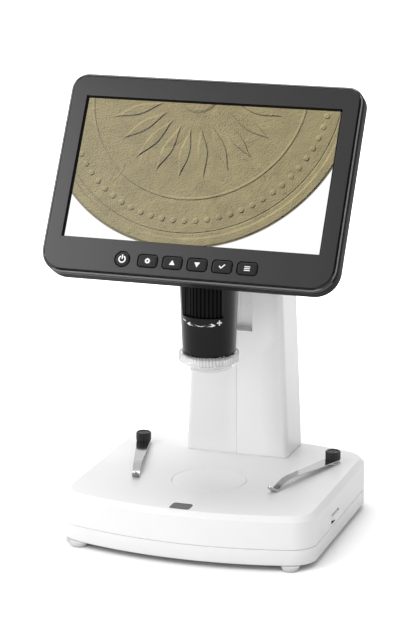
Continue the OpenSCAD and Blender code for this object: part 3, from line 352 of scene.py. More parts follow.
# the edge settings lighten convex edges: partly rubbed wear, partly a painted highlight
def plastic(name, color, tint, roughness, scale=2600, depth=0.000012, edgeRubAndHighlight=0.0, edgeRubAndHighlightColor=0.5,
            spread=0.12, **shader):
    return material(name, skinGroup, {
        "Color": color, "Tint": tint, "Edge Rub And Highlight": edgeRubAndHighlight, "Edge Rub And Highlight Color": grey(edgeRubAndHighlightColor), "Grain Scale": scale,
        "Grain Depth": depth, "Roughness": roughness, "Roughness Spread": spread}, **shader)


def metal(name, color, tint, roughness, streak=(900, 900, 60), depth=0.000006, spread=0.12):
    return material(name, metalGroup, {
        "Color": color, "Tint": tint, "Streak Scale": streak, "Streak Depth": depth,
        "Roughness": roughness, "Roughness Spread": spread}, Metallic=1.0)


# the white shell's lightened edges are a painted highlight along its chamfer edges
whiteShell = plastic("whiteShell", (0.9, 0.9, 0.897, 1), (0.885, 0.885, 0.885, 1), 0.34, spread=0.08,
                     edgeRubAndHighlight=1.0, edgeRubAndHighlightColor=0.99)
footRubber = plastic("footRubber", grey(0.8), grey(0.75), 0.65, scale=1400, depth=0.00003)
milkyDisc = plastic("milkyDisc", (0.94, 0.94, 0.935, 1), (0.92, 0.92, 0.915, 1), 0.3, scale=1800)
reflectorWhite = plastic("reflectorWhite", grey(0.85), grey(0.8), 0.25)
circuitGreen = plastic("circuitGreen", (0.01, 0.12, 0.045, 1), (0.012, 0.16, 0.06, 1), 0.35, scale=700)
castPaint = plastic("castPaint", grey(0.05), grey(0.035), 0.5, scale=900, depth=0.00005,
                    edgeRubAndHighlight=0.5, edgeRubAndHighlightColor=0.25)
darkPart = plastic("darkPart", grey(0.03), grey(0.022), 0.4)
badgeGloss = plastic("badgeGloss", grey(0.02), grey(0.016), 0.2, edgeRubAndHighlight=0.35, edgeRubAndHighlightColor=0.3)
knobBlack = plastic("knobBlack", grey(0.012), grey(0.008), 0.36, edgeRubAndHighlight=0.5, edgeRubAndHighlightColor=0.08,
                    Specular_IOR_Level=0.35)
drumRubber = plastic("drumRubber", grey(0.0015), grey(0.001), 0.36, scale=2000, edgeRubAndHighlight=0.35, edgeRubAndHighlightColor=0.015,
                     Specular_IOR_Level=0.06)
barrelBlack = plastic("barrelBlack", grey(0.004), grey(0.003), 0.26, scale=3000, edgeRubAndHighlight=0.3, edgeRubAndHighlightColor=0.04,
                      Specular_IOR_Level=0.13)
headBlack = plastic("headBlack", grey(0.01), grey(0.007), 0.42, scale=2200, depth=0.00002,
                    edgeRubAndHighlight=0.4, edgeRubAndHighlightColor=0.07, Specular_IOR_Level=0.25)
casingDark = plastic("casingDark", grey(0.012), grey(0.01), 0.3, scale=2600, depth=0.000014,
                     Specular_IOR_Level=0.37)
casingBack = plastic("casingBack", grey(0.019), grey(0.014), 0.4, scale=2200, depth=0.00003,
                     IOR=1.06)  # hardly shines, even at a grazing angle
# lighter grey than the casing: a painted highlight along the bezel's raised rim
casingRimHighlight = plastic("casingRimHighlight", grey(0.13), grey(0.11), 0.25, scale=2600, depth=0.00001,
                    Specular_IOR_Level=0.6)
# near-black for recesses and gaps: painted shade in the wheel slot, the bezel's well and groove, and on the
# key sides
paintedShadeBlack = plastic("paintedShadeBlack", grey(0.003), grey(0.002), 0.5, scale=2000, Specular_IOR_Level=0.08)
buttonBlack = plastic("buttonBlack", grey(0.008), grey(0.005), 0.4, scale=2400, depth=0.00002, edgeRubAndHighlight=0.25,
                      edgeRubAndHighlightColor=0.06, Specular_IOR_Level=0.2)
bracketPaint = plastic("bracketPaint", grey(0.012), grey(0.009), 0.35, scale=1600, edgeRubAndHighlight=0.5, edgeRubAndHighlightColor=0.12,
                       Specular_IOR_Level=0.3)
borderBlack = plastic("borderBlack", grey(0.006), grey(0.005), 0.12, depth=0.000002)
iconPaint = plastic("iconPaint", grey(0.92), grey(0.9), 0.45, depth=0.000006)
turnedSteel = metal("turnedSteel", grey(0.55), grey(0.45), 0.3, streak=(60, 60, 1500))
groundSteel = metal("groundSteel", grey(0.66), grey(0.58), 0.14, streak=(60, 60, 900))
springSteel = metal("springSteel", grey(0.5), grey(0.44), 0.11, streak=(700, 60, 700),
                    depth=0.000002, spread=0.06)
rackSteel = metal("rackSteel", grey(0.5), grey(0.42), 0.33)
dieCast = metal("dieCast", grey(0.45), grey(0.38), 0.5, streak=(500, 500, 500), depth=0.00003)
slideAlloy = metal("slideAlloy", grey(0.3), grey(0.24), 0.4)
turnedBrass = metal("turnedBrass", (0.62, 0.42, 0.16, 1), (0.5, 0.33, 0.12, 1), 0.3, streak=(60, 60, 1500))
platedTin = metal("platedTin", grey(0.6), grey(0.52), 0.25)


def clearMaterial(name, color, roughness, ior, transmission=1.0, alpha=1.0):
    return plastic(name, color, color, roughness, scale=1200, depth=0.000002, spread=0.04,
                   Transmission_Weight=transmission, IOR=ior, Alpha=alpha)


clearPlastic = clearMaterial("clearPlastic", (0.97, 0.98, 0.98, 1), 0.05, 1.16, alpha=0.36)
ribbedPlastic = clearMaterial("ribbedPlastic", grey(0.93), 0.2, 1.2, transmission=0.3)
capRibs = {"count": 56, "depth": 0.45, "groove": 0.5, "ridge": 0.97, "clearest": 0.55, "milkier": 0.35}


# paints the rim's grooves darker and less clear than its ridges: painted shade in the grooves
def addRibShade(made, spec):
    tree = made.node_tree
    parts = newNode(tree, "SeparateXYZ", Vector=newNode(tree, "TexCoord").outputs["Object"]).outputs
    turn = mathNode(tree, "ARCTAN2", parts[1], parts[0])
    wave = mathNode(tree, "COSINE", mathNode(tree, "MULTIPLY", turn, spec["count"]))
    inGroove = mathNode(tree, "MULTIPLY_ADD", wave, 0.5, 0.5)
    setInputs(tree, tree.nodes["Principled BSDF"],
              Base_Color=mixColor(tree, inGroove, grey(spec["ridge"]), grey(spec["groove"])),
              Alpha=mathNode(tree, "MULTIPLY_ADD", inGroove, spec["milkier"], spec["clearest"]))


addRibShade(ribbedPlastic, capRibs)
lensGlass = clearMaterial("lensGlass", (0.86, 0.92, 0.97, 1), 0.03, 1.5)
print("materials made")

# base covers and feet
baseSpec = {"halfWidth": 78.4, "front": 60.0, "back": 94.0, "frontBow": 240.0, "backBow": 210.0,
            "corner": 17.0, "tableZ": -32.8, "floorZ": -29.8, "seamZ": -19.8, "shell": 3.0}


def straightSide(x, start, end, steps=32):
    return [(x, start + (end - start) * i / steps) for i in range(1, steps)]


def baseOutline(inset):
    s = baseSpec
    halfWidth, corner = s["halfWidth"] - inset, s["corner"] - inset
    front, back = s["frontBow"] - inset, s["backBow"] - inset
    frontCentre, backCentre = inset - s["front"] + front, s["back"] - inset - back
    frontTurn = math.degrees(math.asin((halfWidth - corner) / (front - corner)))
    backTurn = math.degrees(math.asin((halfWidth - corner) / (back - corner)))
    yFront = frontCentre - (front - corner) * math.cos(math.radians(frontTurn))
    yBack = backCentre + (back - corner) * math.cos(math.radians(backTurn))
    return (arcPoints(0, frontCentre, front, 270 - frontTurn, 270 + frontTurn, 60)
            + arcPoints(halfWidth - corner, yFront, corner, 270 + frontTurn, 360, 20)
            + straightSide(halfWidth, yFront, yBack)
            + arcPoints(halfWidth - corner, yBack, corner, 0, 90 - backTurn, 20)
            + arcPoints(0, backCentre, back, 90 - backTurn, 90 + backTurn, 60)
            + arcPoints(corner - halfWidth, yBack, corner, 90 + backTurn, 180, 20)
            + straightSide(-halfWidth, yBack, yFront)
            + arcPoints(corner - halfWidth, yFront, corner, 180, 270 - frontTurn, 20))


windowSpec = {"radius": 22.5, "gap": 0.08, "thick": 3.0, "ledgeRadius": 20.0, "collarRadius": 26.0,
              "ledgeZ": -5.2}


def windowRing(radius, z):
    angles = [math.atan2(y, x) for x, y in baseOutline(3.3)]
    return [(radius * math.cos(a), radius * math.sin(a), z) for a in angles]


seamZ, shellInset = baseSpec["seamZ"], baseSpec["shell"]
topProfile = [(0.55, seamZ), (0.12, seamZ + 0.2), (0.0, seamZ + 0.5), (0.0, -3.5), (0.1, -3.05),
              (0.38, -2.62), (2.6, -0.42), (2.95, -0.13), (3.4, 0.0)]
seat = windowSpec["radius"] + windowSpec["gap"]
ledge, collar, ledgeZ = windowSpec["ledgeRadius"], windowSpec["collarRadius"], windowSpec["ledgeZ"]
seatProfile = [(seat + 0.37, 0), (seat + 0.1, -0.08), (seat, -0.3), (seat, -windowSpec["thick"]),
               (ledge, -windowSpec["thick"]), (ledge, ledgeZ), (collar, ledgeZ), (collar, -2.4)]
topRings = [ringAt(baseOutline(inset), z) for inset, z in topProfile]
topRings += [windowRing(radius, z) for radius, z in seatProfile]
topRings += [ringAt(baseOutline(shellInset), z) for z in (-2.4, seamZ)]
topCover = piece("base_top_shell", loft(topRings, wrap=True))

wheelSpec = {"x": 68.4, "y": 1.8, "z": -16.1, "radius": 12.0, "thick": 3.4, "bore": 2.05, "notches": 36}
slotSpec = {"radius": 12.7, "low": -1.6, "high": 4.0}  # heights from the wheel's lower face
socketSpec = {"x": -40, "z": -14.3, "radius": 4.25, "depth": 14}
badgeSpec = {"y": -51.0, "width": 12.5, "depth": 10.0, "radius": 2.0, "sunk": 0.6, "gap": 0.1}
slotProfile = [(slotSpec["radius"], slotSpec["low"]), (slotSpec["radius"], slotSpec["high"])]
slotCutter = shifted(turned(slotProfile), wheelSpec["x"], wheelSpec["y"], wheelSpec["z"])
socketTurn = turnAt(socketSpec["x"], baseSpec["back"] - socketSpec["depth"], socketSpec["z"], -90, "X")
socketCutter = placed(turned([(socketSpec["radius"], 0), (socketSpec["radius"], 20)], 48), socketTurn)
badgeOutline = roundedBox(badgeSpec["width"], badgeSpec["depth"], badgeSpec["radius"])
badgeCutter = shifted(prism(badgeOutline, -badgeSpec["sunk"], 1), 0, badgeSpec["y"], 0)
cut(topCover, slotCutter, socketCutter, badgeCutter)
softEdges(topCover, 0.22, 2, 55)
dress(topCover, whiteShell, "base", ["base_top_cover"], sharp=30)
wheelCentre = Vector((wheelSpec["x"], wheelSpec["y"]))


# the wheel slot's faces are made near-black: painted shade inside the slot
def inWheelSlot(spot, normal):
    nearAxis = (spot.xy - wheelCentre).length < slotSpec["radius"] + 0.1 and 66 < spot.x < 78.2
    return nearAxis and slotSpec["low"] - 0.1 < spot.z - wheelSpec["z"] < slotSpec["high"] + 0.1


refinish(topCover, [paintedShadeBlack], inWheelSlot)

floorZ = baseSpec["floorZ"]
trayProfile = [(2.6, floorZ), (1.3, floorZ + 0.08), (0.5, floorZ + 0.4), (0.12, floorZ + 0.95),
               (0, floorZ + 1.6), (0, seamZ - 0.55), (0.12, seamZ - 0.25), (0.6, seamZ - 0.05)]
tray = piece("base_tray", loft([ringAt(baseOutline(inset), z) for inset, z in trayProfile]))
trayHole = {"x": 64.0, "ys": (-26.0, 34.0), "radius": 2.9, "depth": 1.6}
holeProfile = [(trayHole["radius"], floorZ - 0.7), (trayHole["radius"], floorZ + trayHole["depth"])]
cut(tray, joined(*[shifted(turned(holeProfile, 40), side * trayHole["x"], y, 0)
                   for side in (-1, 1) for y in trayHole["ys"]]))
dress(tray, whiteShell, "base", ["base_bottom_cover"], sharp=30)

footSpec = {"x": 65.6, "ys": (-47.3, 75.0)}
tableZ = baseSpec["tableZ"]
footProfile = [(0.2, tableZ + 0.2), (2.6, tableZ + 0.1), (3.4, tableZ), (4.4, tableZ + 0.12),
               (4.85, tableZ + 0.5), (5.15, tableZ + 1.3), (5.5, tableZ + 2.3), (5.8, floorZ + 0.05),
               (0.2, floorZ + 0.05)]
feetPart = joined(*[shifted(turned(footProfile, 48), side * footSpec["x"], y, 0)
                    for side in (-1, 1) for y in footSpec["ys"]])
dress(piece("rubber_feet", feetPart), footRubber, "base", ["feet"])

discRadius = windowSpec["radius"]
discProfile = [(discRadius, -windowSpec["thick"]), (discRadius, -0.35), (discRadius - 0.08, -0.12),
               (discRadius - 0.3, 0.0), (0.2, 0.0)]
dress(piece("window_disc", turned(discProfile, 128)), milkyDisc, "base", ["stage_window"])


def badgeRing(inset, z):
    trim = inset + badgeSpec["gap"]
    return ringAt(roundedBox(badgeSpec["width"] - 2 * trim, badgeSpec["depth"] - 2 * trim,
                             badgeSpec["radius"] - trim), z)


badgeProfile = [(0, -badgeSpec["sunk"]), (0, 0.0), (0.15, 0.2), (0.4, 0.26), (0.75, 0.26), (0.9, 0.16)]
badgePart = shifted(loft([badgeRing(inset, z) for inset, z in badgeProfile]), 0, badgeSpec["y"], 0)
dress(piece("blank_badge", badgePart), badgeGloss, "base", ["badge_plate"])


def knurl(count, depth, power=1.0):
    return lambda angle, radius, z: depth * (0.5 + 0.5 * math.cos(count * angle)) ** power


bore, wheelRim, wheelTop = wheelSpec["bore"], wheelSpec["radius"], wheelSpec["thick"]
wheelProfile = [(bore, 0), (wheelRim - 0.6, 0), (wheelRim - 0.15, 0.25), (wheelRim, 0.6),
                (wheelRim, wheelTop - 0.6), (wheelRim - 0.15, wheelTop - 0.25), (wheelRim - 0.6, wheelTop),
                (bore, wheelTop)]
wheelNotch = knurl(wheelSpec["notches"], 0.5, 2)
wheelPart = turned(wheelProfile, 288, wrap=True,
                   ripple=lambda a, r, z: wheelNotch(a, r, z) if r > 11 else 0)
wheel = piece("dimmer_thumbwheel", shifted(wheelPart, wheelSpec["x"], wheelSpec["y"], wheelSpec["z"]))
dress(wheel, whiteShell, "dimmer", ["dimmer_wheel"], sharp=50)
print("base made")

# stage clips
clipSpec = {"x": 62.0, "y": 55.0, "turn": 16.0, "narrowAt": 60.0, "end": 71.4, "rootWidth": 9.2,
            "tipWidth": 4.6, "thick": 0.7}
clipPath = [(-5, 2.1), (0, 2.1), (20, 2.95), (38, 4.0), (49, 4.5), (53.5, 4.35), (58, 3.5), (61.5, 2.3),
            (64.6, 0.95), (65.8, 0.6), (66.8, 0.62), (68.4, 1.5), (71.6, 4.75)]  # distance along, height


def clipHeight(s):
    for (s0, z0), (s1, z1) in zip(clipPath, clipPath[1:]):
        if s <= s1:
            t = (s - s0) / (s1 - s0)
            return z0 + (z1 - z0) * t
    return clipPath[-1][1]


def clipHalfWidth(s):
    root, tip = clipSpec["rootWidth"] / 2, clipSpec["tipWidth"] / 2
    if s < 0:
        return math.sqrt(max(root * root - s * s, 0.01))
    width = root + (tip - root) * min(s / clipSpec["narrowAt"], 1)
    roundStart = clipSpec["end"] - tip
    return width if s < roundStart else math.sqrt(max(tip * tip - (s - roundStart) ** 2, 0.04))


def clipStrip(side):
    stations = [-4.89, -4.7, -4.2, -3.4, -2.2, 0] + [2 + 1.25 * i for i in range(50)]
    stations += [64.5 + 0.5 * i for i in range(12)] + [70.5, 70.9, 71.2, 71.38]
    half, rim = clipSpec["thick"] / 2, 0.12
    rings = []
    for s in stations:
        w = clipHalfWidth(s)
        slope = (clipHeight(s + 0.4) - clipHeight(s - 0.4)) / 0.8
        lean = math.atan(slope)
        section = [(-w, half - rim), (-w + rim, half), (w - rim, half), (w, half - rim),
                   (w, rim - half), (w - rim, -half), (rim - w, -half), (-w, rim - half)]
        rings.append([(x, -(s - t * math.sin(lean)), clipHeight(s) + t * math.cos(lean))
                      for x, t in section])
    return placed(loft(rings), turnAt(side * clipSpec["x"], clipSpec["y"], 0, -side * clipSpec["turn"], "Z"))


knobSpec = {"radius": 4.7, "low": 2.45, "high": 7.85, "bore": 1.62, "ribs": 30, "depth": 0.34}
knobEdge, knobLow, knobHigh = knobSpec["radius"], knobSpec["low"], knobSpec["high"]
knobProfile = [(knobSpec["bore"], knobLow), (knobEdge - 0.4, knobLow), (knobEdge - 0.08, knobLow + 0.2),
               (knobEdge, knobLow + 0.45), (knobEdge, knobHigh - 0.65), (knobEdge - 0.08, knobHigh - 0.35),
               (knobEdge - 0.35, knobHigh - 0.1), (knobEdge - 0.8, knobHigh),
               (knobEdge - 1.15, knobHigh - 0.05), (knobEdge - 1.3, knobHigh - 0.3),
               (knobEdge - 1.4, knobHigh - 0.5), (1.0, knobHigh - 0.55), (0.85, knobHigh - 0.35),
               (0.3, knobHigh - 0.35)]
knobKnurl = knurl(knobSpec["ribs"], knobSpec["depth"], 1.5)
pinSpec = {"radius": 1.6, "head": 3.6, "collar": 3.2}
pinR, headR, collarR = pinSpec["radius"], pinSpec["head"], pinSpec["collar"]
pinProfile = [(0.2, -9.2), (headR - 0.2, -9.2), (headR, -9.0), (headR, -8.15), (pinR, -8.1), (pinR, 0.9),
              (collarR - 0.1, 0.9), (collarR, 1.0), (collarR, 1.65), (collarR - 0.1, 1.75), (pinR, 1.75),
              (pinR, 6.4), (0.2, 6.4)]
for side, label in ((-1, "left"), (1, "right")):
    strip = piece(label + "_clip_spring", clipStrip(side))
    dress(strip, springSteel, label + "_clip", ["clip_strip_" + label], sharp=30)
    knobPart = turned(knobProfile, 240, ripple=lambda a, r, z: knobKnurl(a, r, z) if r > 4.5 else 0)
    pivotX, pivotY = side * clipSpec["x"], clipSpec["y"]
    knob = piece(label + "_clip_grip", shifted(knobPart, pivotX, pivotY, 0))
    dress(knob, knobBlack, label + "_clip", ["clip_knob_" + label], sharp=45)
    pin = piece(label + "_clip_pivot", shifted(turned(pinProfile, 48), pivotX, pivotY, 0))
    dress(pin, turnedSteel, label + "_clip", ["clip_pin_" + label])
print("clips made")

# column shells
columnSpec = {"front": 53.5, "back": 87.0, "foot": 33.2, "top": 25.0, "height": 189.2, "frontRound": 3.3,
              "backRound": 3.3, "topRound": 2.5, "seam": 0.06, "wall": 2.2}
channelSpec = {"half": 10.0, "depth": 8.0, "low": 79.7, "high": 177.2}
slotThrough = {"half": 3.8, "low": 108.2, "high": 176.2}
cavitySpec = {"half": 21.5, "low": 5.0, "high": 186.8}
pinionSpec = {"y": 75.3, "z": 134.2, "bushRadius": 4.52}


def columnHalf(z, inset):
    s = columnSpec
    half = s["foot"] + (s["top"] - s["foot"]) * z / s["height"] - inset
    front, back = s["front"] + inset, s["back"] - inset
    rf, rb = max(s["frontRound"] - inset, 1.0), max(s["backRound"] - inset, 1.0)
    seam, channelEdge = s["seam"], channelSpec["half"]
    points = [(seam, front + 0.2), (seam + 0.2, front), (channelEdge, front)]
    points += arcPoints(half - rf, front + rf, rf, 270, 360, 12)
    points += arcPoints(half - rb, back - rb, rb, 0, 90, 12)
    return points + [(channelEdge, back), (seam + 0.2, back), (seam, back - 0.2)]


height = columnSpec["height"]
columnLevels = [(0.0, 0.55), (0.45, 0.55), (0.6, 0.12), (0.95, 0.0)] + [(15 * i, 0.0) for i in range(1, 13)]
topRound = columnSpec["topRound"]
columnLevels += [(height - topRound + topRound * math.sin(math.radians(a)),
                  topRound * (1 - math.cos(math.radians(a)))) for a in range(0, 91, 15)]
channelBack = columnSpec["front"] + channelSpec["depth"]
innerFront, innerBack = channelBack + columnSpec["wall"], columnSpec["back"] - columnSpec["wall"]


def openingBox(spec, near, far):
    return boxPart((-spec["half"], near, spec["low"]), (spec["half"], far, spec["high"]))


bushRadius = pinionSpec["bushRadius"]
bushCutter = placed(turned([(bushRadius, -60), (bushRadius, 60)], 64),
                    turnAt(0, pinionSpec["y"], pinionSpec["z"], 90, "Y"))
for side, label in ((1, "right"), (-1, "left")):
    rings = [[(side * x, y, z) for x, y in columnHalf(z, inset)] for z, inset in columnLevels]
    shell = piece("column_" + label + "_skin", loft(rings))
    cut(shell, openingBox(channelSpec, 50, channelBack), openingBox(slotThrough, 60, innerFront + 2),
        openingBox(cavitySpec, innerFront, innerBack), bushCutter)
    softEdges(shell, 0.3, 3, 55)
    dress(shell, whiteShell, "base", ["column_" + label + "_shell"], sharp=30)
print("column made")

# focus knobs
focusSpec = {"radius": 18.0, "width": 16.0, "inner": 29.06, "dish": 12.4, "ribs": 36, "depth": 0.75}
grip, wide, dish = focusSpec["radius"], focusSpec["width"], focusSpec["dish"]
focusProfile = [(2.55, 0), (grip - 1.4, 0), (grip - 0.6, 0.3), (grip - 0.15, 0.9), (grip, 1.7),
                (grip, wide - 2.1), (grip - 0.15, wide - 1.3), (grip - 0.8, wide - 0.5),
                (grip - 1.7, wide - 0.1), (grip - 3.5, wide), (dish + 0.8, wide - 0.25),
                (dish + 0.3, wide - 0.8), (dish, wide - 1.0), (3.2, wide - 1.0), (2.8, wide - 0.7),
                (0.2, wide - 0.65)]
gripKnurl = knurl(focusSpec["ribs"], focusSpec["depth"], 2)


def gripRipple(angle, radius, z):
    return gripKnurl(angle, radius, z) if radius > 16.5 and 0.2 < z < 15.6 else 0


for side, label in ((-1, "left"), (1, "right")):
    turn = turnAt(side * focusSpec["inner"], pinionSpec["y"], pinionSpec["z"], side * 90, "Y")
    focusKnob = piece("focus_grip_" + label, placed(turned(focusProfile, 360, ripple=gripRipple), turn))
    dress(focusKnob, knobBlack, "focus_drive", ["focus_knob_" + label], sharp=45)
print("focus knobs made")

# barrel
barrelSpec = {"low": 78.2, "high": 132.2, "lowRadius": 15.75, "highRadius": 18.0, "windowLow": 104.2,
              "windowHigh": 128.2, "windowHalf": 62.0, "markZ": 99.6, "bore": 13.2, "boardSeat": 14.0,
              "drumSpace": 15.6, "drumFloor": 103.4, "seatTop": 100.9, "seatLift": 2.8}
notchSpec = {"turn": 10.0, "near": 14.7, "far": 17.8, "half": 1.1, "below": 1.2, "above": 3.6}


def barrelRadius(z):
    s = barrelSpec
    return s["lowRadius"] + (s["highRadius"] - s["lowRadius"]) * (z - s["low"]) / (s["high"] - s["low"])


low, high = barrelSpec["low"], barrelSpec["high"]
lowEdge, barrelBore, boardSeat = barrelSpec["lowRadius"], barrelSpec["bore"], barrelSpec["boardSeat"]
drumSpace, drumFloor = barrelSpec["drumSpace"], barrelSpec["drumFloor"]
seatTop, seatLow = barrelSpec["seatTop"], low + barrelSpec["seatLift"]
barrelProfile = [(barrelBore, low + 0.3), (barrelBore + 0.3, low), (lowEdge - 0.75, low),
                 (lowEdge - 0.3, low + 0.15), (lowEdge, low + 0.75)]
barrelProfile += [(barrelRadius(z), z) for z in (90, 99, 108, 117, 126, high)]
barrelProfile += [(drumSpace, high), (drumSpace, drumFloor), (barrelBore, drumFloor), (barrelBore, seatTop),
                  (boardSeat, seatTop), (boardSeat, seatLow), (barrelBore, seatLow)]
barrel = piece("barrel_skin", turned(barrelProfile, 192, wrap=True))
halfWindow = barrelSpec["windowHalf"]  # degrees to each side of the front
windowArc = [(0, -8)] + arcPoints(0, 0, 30, 270 - halfWindow, 270 + halfWindow, 24)
notchTurn = Matrix.Rotation(math.radians(notchSpec["turn"]), 4, "Z")
notch = placed(boxPart((notchSpec["near"], -notchSpec["half"], low - notchSpec["below"]),
                       (notchSpec["far"], notchSpec["half"], low + notchSpec["above"])), notchTurn)
cut(barrel, prism(windowArc, barrelSpec["windowLow"], barrelSpec["windowHigh"]), notch)
softEdges(barrel, 0.28, 3, 50)
dress(barrel, barrelBlack, "carriage", ["barrel_housing"], sharp=32)


def onBarrel(outline, lift=0.05, thick=0.12):
    rings = []
    for offset in (-thick, lift):
        ring = []
        for angle, z in outline:
            a, r = math.radians(angle - 90), barrelRadius(z) + offset
            ring.append((r * math.cos(a), r * math.sin(a), z))
        rings.append(ring)
    return loft(rings)


# marks: degrees round the barrel from its front, mm up
markZ = barrelSpec["markZ"]
arrowShaft = [(1.6 * i, 0.2 + 0.06 * i, 0.001 * (1.6 * i) ** 2) for i in range(15)]
arrowHead = [(22.4, 2.1), (27.0, 1.5), (32.0, 0.7), (27.5, 0.1), (22.4, -0.1)]
minus = [(-46, 0.0), (-41, -0.3), (-36, -0.6), (-36, 0.1), (-41, 0.4), (-46, 0.7)]
plus = [(-1.35, -5), (1.35, -5), (1.35, -1.35), (5, -1.35), (5, 1.35), (1.35, 1.35), (1.35, 5), (-1.35, 5),
        (-1.35, 1.35), (-5, 1.35), (-5, -1.35), (-1.35, -1.35)]
marks = []
for side in (-1, 1):
    upper = [(side * a, markZ + rise + w) for a, w, rise in arrowShaft]
    lower = [(side * a, markZ + rise - w * 0.35) for a, w, rise in reversed(arrowShaft)]
    marks.append(onBarrel(upper + [(side * a, markZ + dz) for a, dz in arrowHead] + lower))
marks.append(onBarrel([(a, markZ + 2.2 + dz) for a, dz in minus]))
marks.append(onBarrel([(40 + 1.05 * a, markZ + 2.1 + 0.31 * dz) for a, dz in plus]))
dress(piece("barrel_marks", joined(*marks)), iconPaint, "carriage")

drumSpec = {"low": 103.6, "high": 129.8, "radius": 15.2, "bore": 13.2, "ribs": 40, "depth": 0.75}
drumLow, drumHigh, drumR, drumBore = drumSpec["low"], drumSpec["high"], drumSpec["radius"], drumSpec["bore"]
drumProfile = [(drumBore, drumLow), (drumR - 0.7, drumLow), (drumR - 0.25, drumLow + 0.25),
               (drumR, drumLow + 0.7), (drumR, drumHigh - 0.7), (drumR - 0.25, drumHigh - 0.25),
               (drumR - 0.7, drumHigh), (drumBore, drumHigh)]


def ribWave(angle, radius, z):
    phase = (angle * drumSpec["ribs"] / (2 * math.pi)) % 1.0
    inGroove = min(max((abs(phase - 0.5) - 0.26) / 0.12, 0), 1)
    return drumSpec["depth"] * (3 * inGroove ** 2 - 2 * inGroove ** 3) if radius > 14.9 else 0


drum = piece("focus_drum_ribbed", turned(drumProfile, 480, wrap=True, ripple=ribWave))
dress(drum, drumRubber, "focus_ring", ["focus_drum"], sharp=50)

capSpec = {"bottom": 70.4, "shoulder": 74.8, "top": 80.8, "nose": 14.4, "rim": 17.9, "inside": 16.13,
           "wall": 1.4}
bottom, shoulder, capTop, wall = capSpec["bottom"], capSpec["shoulder"], capSpec["top"], capSpec["wall"]
nose, capRim, inside = capSpec["nose"], capSpec["rim"], capSpec["inside"]
capProfile = [(0.3, bottom), (nose - 2.8, bottom), (nose - 1.5, bottom + 0.25), (nose - 0.5, bottom + 0.95),
              (nose - 0.05, bottom + 1.9), (nose, shoulder - 0.3), (nose + 0.3, shoulder),
              (capRim - 0.7, shoulder), (capRim - 0.2, shoulder + 0.25), (capRim, shoulder + 0.7),
              (capRim, capTop - 0.6), (capRim - 0.15, capTop - 0.15), (capRim - 0.5, capTop),
              (inside + 0.17, capTop), (inside, capTop - 0.2), (inside, shoulder + wall),
              (nose - wall, shoulder + wall), (nose - wall, bottom + 2.4), (12.3, bottom + 1.7),
              (11.2, bottom + wall), (0.3, bottom + wall)]
rimNotch = knurl(capRibs["count"], capRibs["depth"], 1.2)
cap = piece("clear_lens_cap", turned(capProfile, 448,
                                     ripple=lambda a, r, z: rimNotch(a, r, z) if r > 17.65 else 0))
dress(cap, clearPlastic, "cap", ["clear_cap"], sharp=40)
refinish(cap, [ribbedPlastic], lambda spot, normal: spot.xy.length > 17.45 and abs(normal.z) < 0.7)
print("barrel made")

# screen unit, drawn in its own frame: x right, y into the casing, z up the screen
screenSpec = {"front": 13.6, "high": 189.8, "tilt": 30.0, "halfWidth": 89.5, "up": 58.2, "down": 65.5,
              "topCorner": 10.0, "lowCorner": 15.0, "back": 13.2, "face": -1.8, "split": 1.6, "rim": 2.5}
wellSpec = {"half": 77.45, "up": 43.2, "down": 43.2}  # opening round the display
screenPlace = turnAt(0, -screenSpec["front"], screenSpec["high"], -screenSpec["tilt"], "X")
fromScreen = screenPlace.inverted()


def panelRing(half, up, down, topRadius, lowRadius, y):
    corners = ((half - lowRadius, lowRadius - down, lowRadius, 270),
               (half - topRadius, up - topRadius, topRadius, 0),
               (topRadius - half, up - topRadius, topRadius, 90),
               (lowRadius - half, lowRadius - down, lowRadius, 180))
    return [(x, y, z) for cx, cz, radius, start in corners
            for x, z in arcPoints(cx, cz, radius, start, start + 90, 14)]


def caseOutline(inset, y):
    s = screenSpec
    return panelRing(s["halfWidth"] - inset, s["up"] - inset, s["down"] - inset,
                     max(s["topCorner"] - inset, 0.6), max(s["lowCorner"] - inset, 0.6), y)


def slabPart(outline, y0, y1):
    return loft([[(x, y, z) for x, z in outline] for y in (y0, y1)])


buttonSpec = {"row": -54.9, "first": -22.9, "pitch": 15.0, "power": -38.4, "width": 11.6, "height": 7.2,
              "radius": 1.9, "powerRadius": 4.4, "gap": 0.55}
buttonXs = [buttonSpec["first"] + buttonSpec["pitch"] * i for i in range(5)]
face, split, back = screenSpec["face"], screenSpec["split"], screenSpec["back"]
wellLevels = ((0, 0, 0, -0.02), (0, 0, 0, -0.75), (0.65, 0.5, 0.25, -0.8), (0.7, 0.55, 0.3, face + 0.2),
              (0.85, 0.7, 0.4, face + 0.03), (1.1, 0.9, 0.65, face))  # wider, higher, lower, y
wellHalf, wellUp, wellDown = wellSpec["half"], wellSpec["up"], wellSpec["down"]
bezelRings = [panelRing(wellHalf + wider, wellUp + higher, wellDown + lower, 0.5, 0.5, y)
              for wider, higher, lower, y in wellLevels]
rimY = face + 1.35
bezelRings += [caseOutline(inset, y) for inset, y in (
    (2.75, face), (2.45, face + 0.05), (2.3, face + 0.22), (2.25, face + 0.5), (2.2, rimY + 0.15),
    (2.0, rimY + 0.25), (1.6, rimY + 0.25), (1.45, rimY + 0.1), (1.3, rimY - 0.02), (1.05, rimY - 0.05),
    (0.8, rimY), (0.5, rimY + 0.2), (0.25, rimY + 0.5), (0.08, rimY + 0.9), (0.0, rimY + 1.3),
    (0.0, split - 0.35), (0.2, split - 0.1), (0.6, split - 0.05), (2.2, split - 0.05), (2.2, -0.02))]
bezel = piece("bezel_skin", placed(loft(bezelRings, wrap=True), screenPlace))
gap, row = buttonSpec["gap"], buttonSpec["row"]
hole = roundedBox(buttonSpec["width"] + 2 * gap, buttonSpec["height"] + 2 * gap, buttonSpec["radius"] + gap)
holes = [slabPart([(x + px, row + pz) for px, pz in hole], -4, 3) for x in buttonXs]
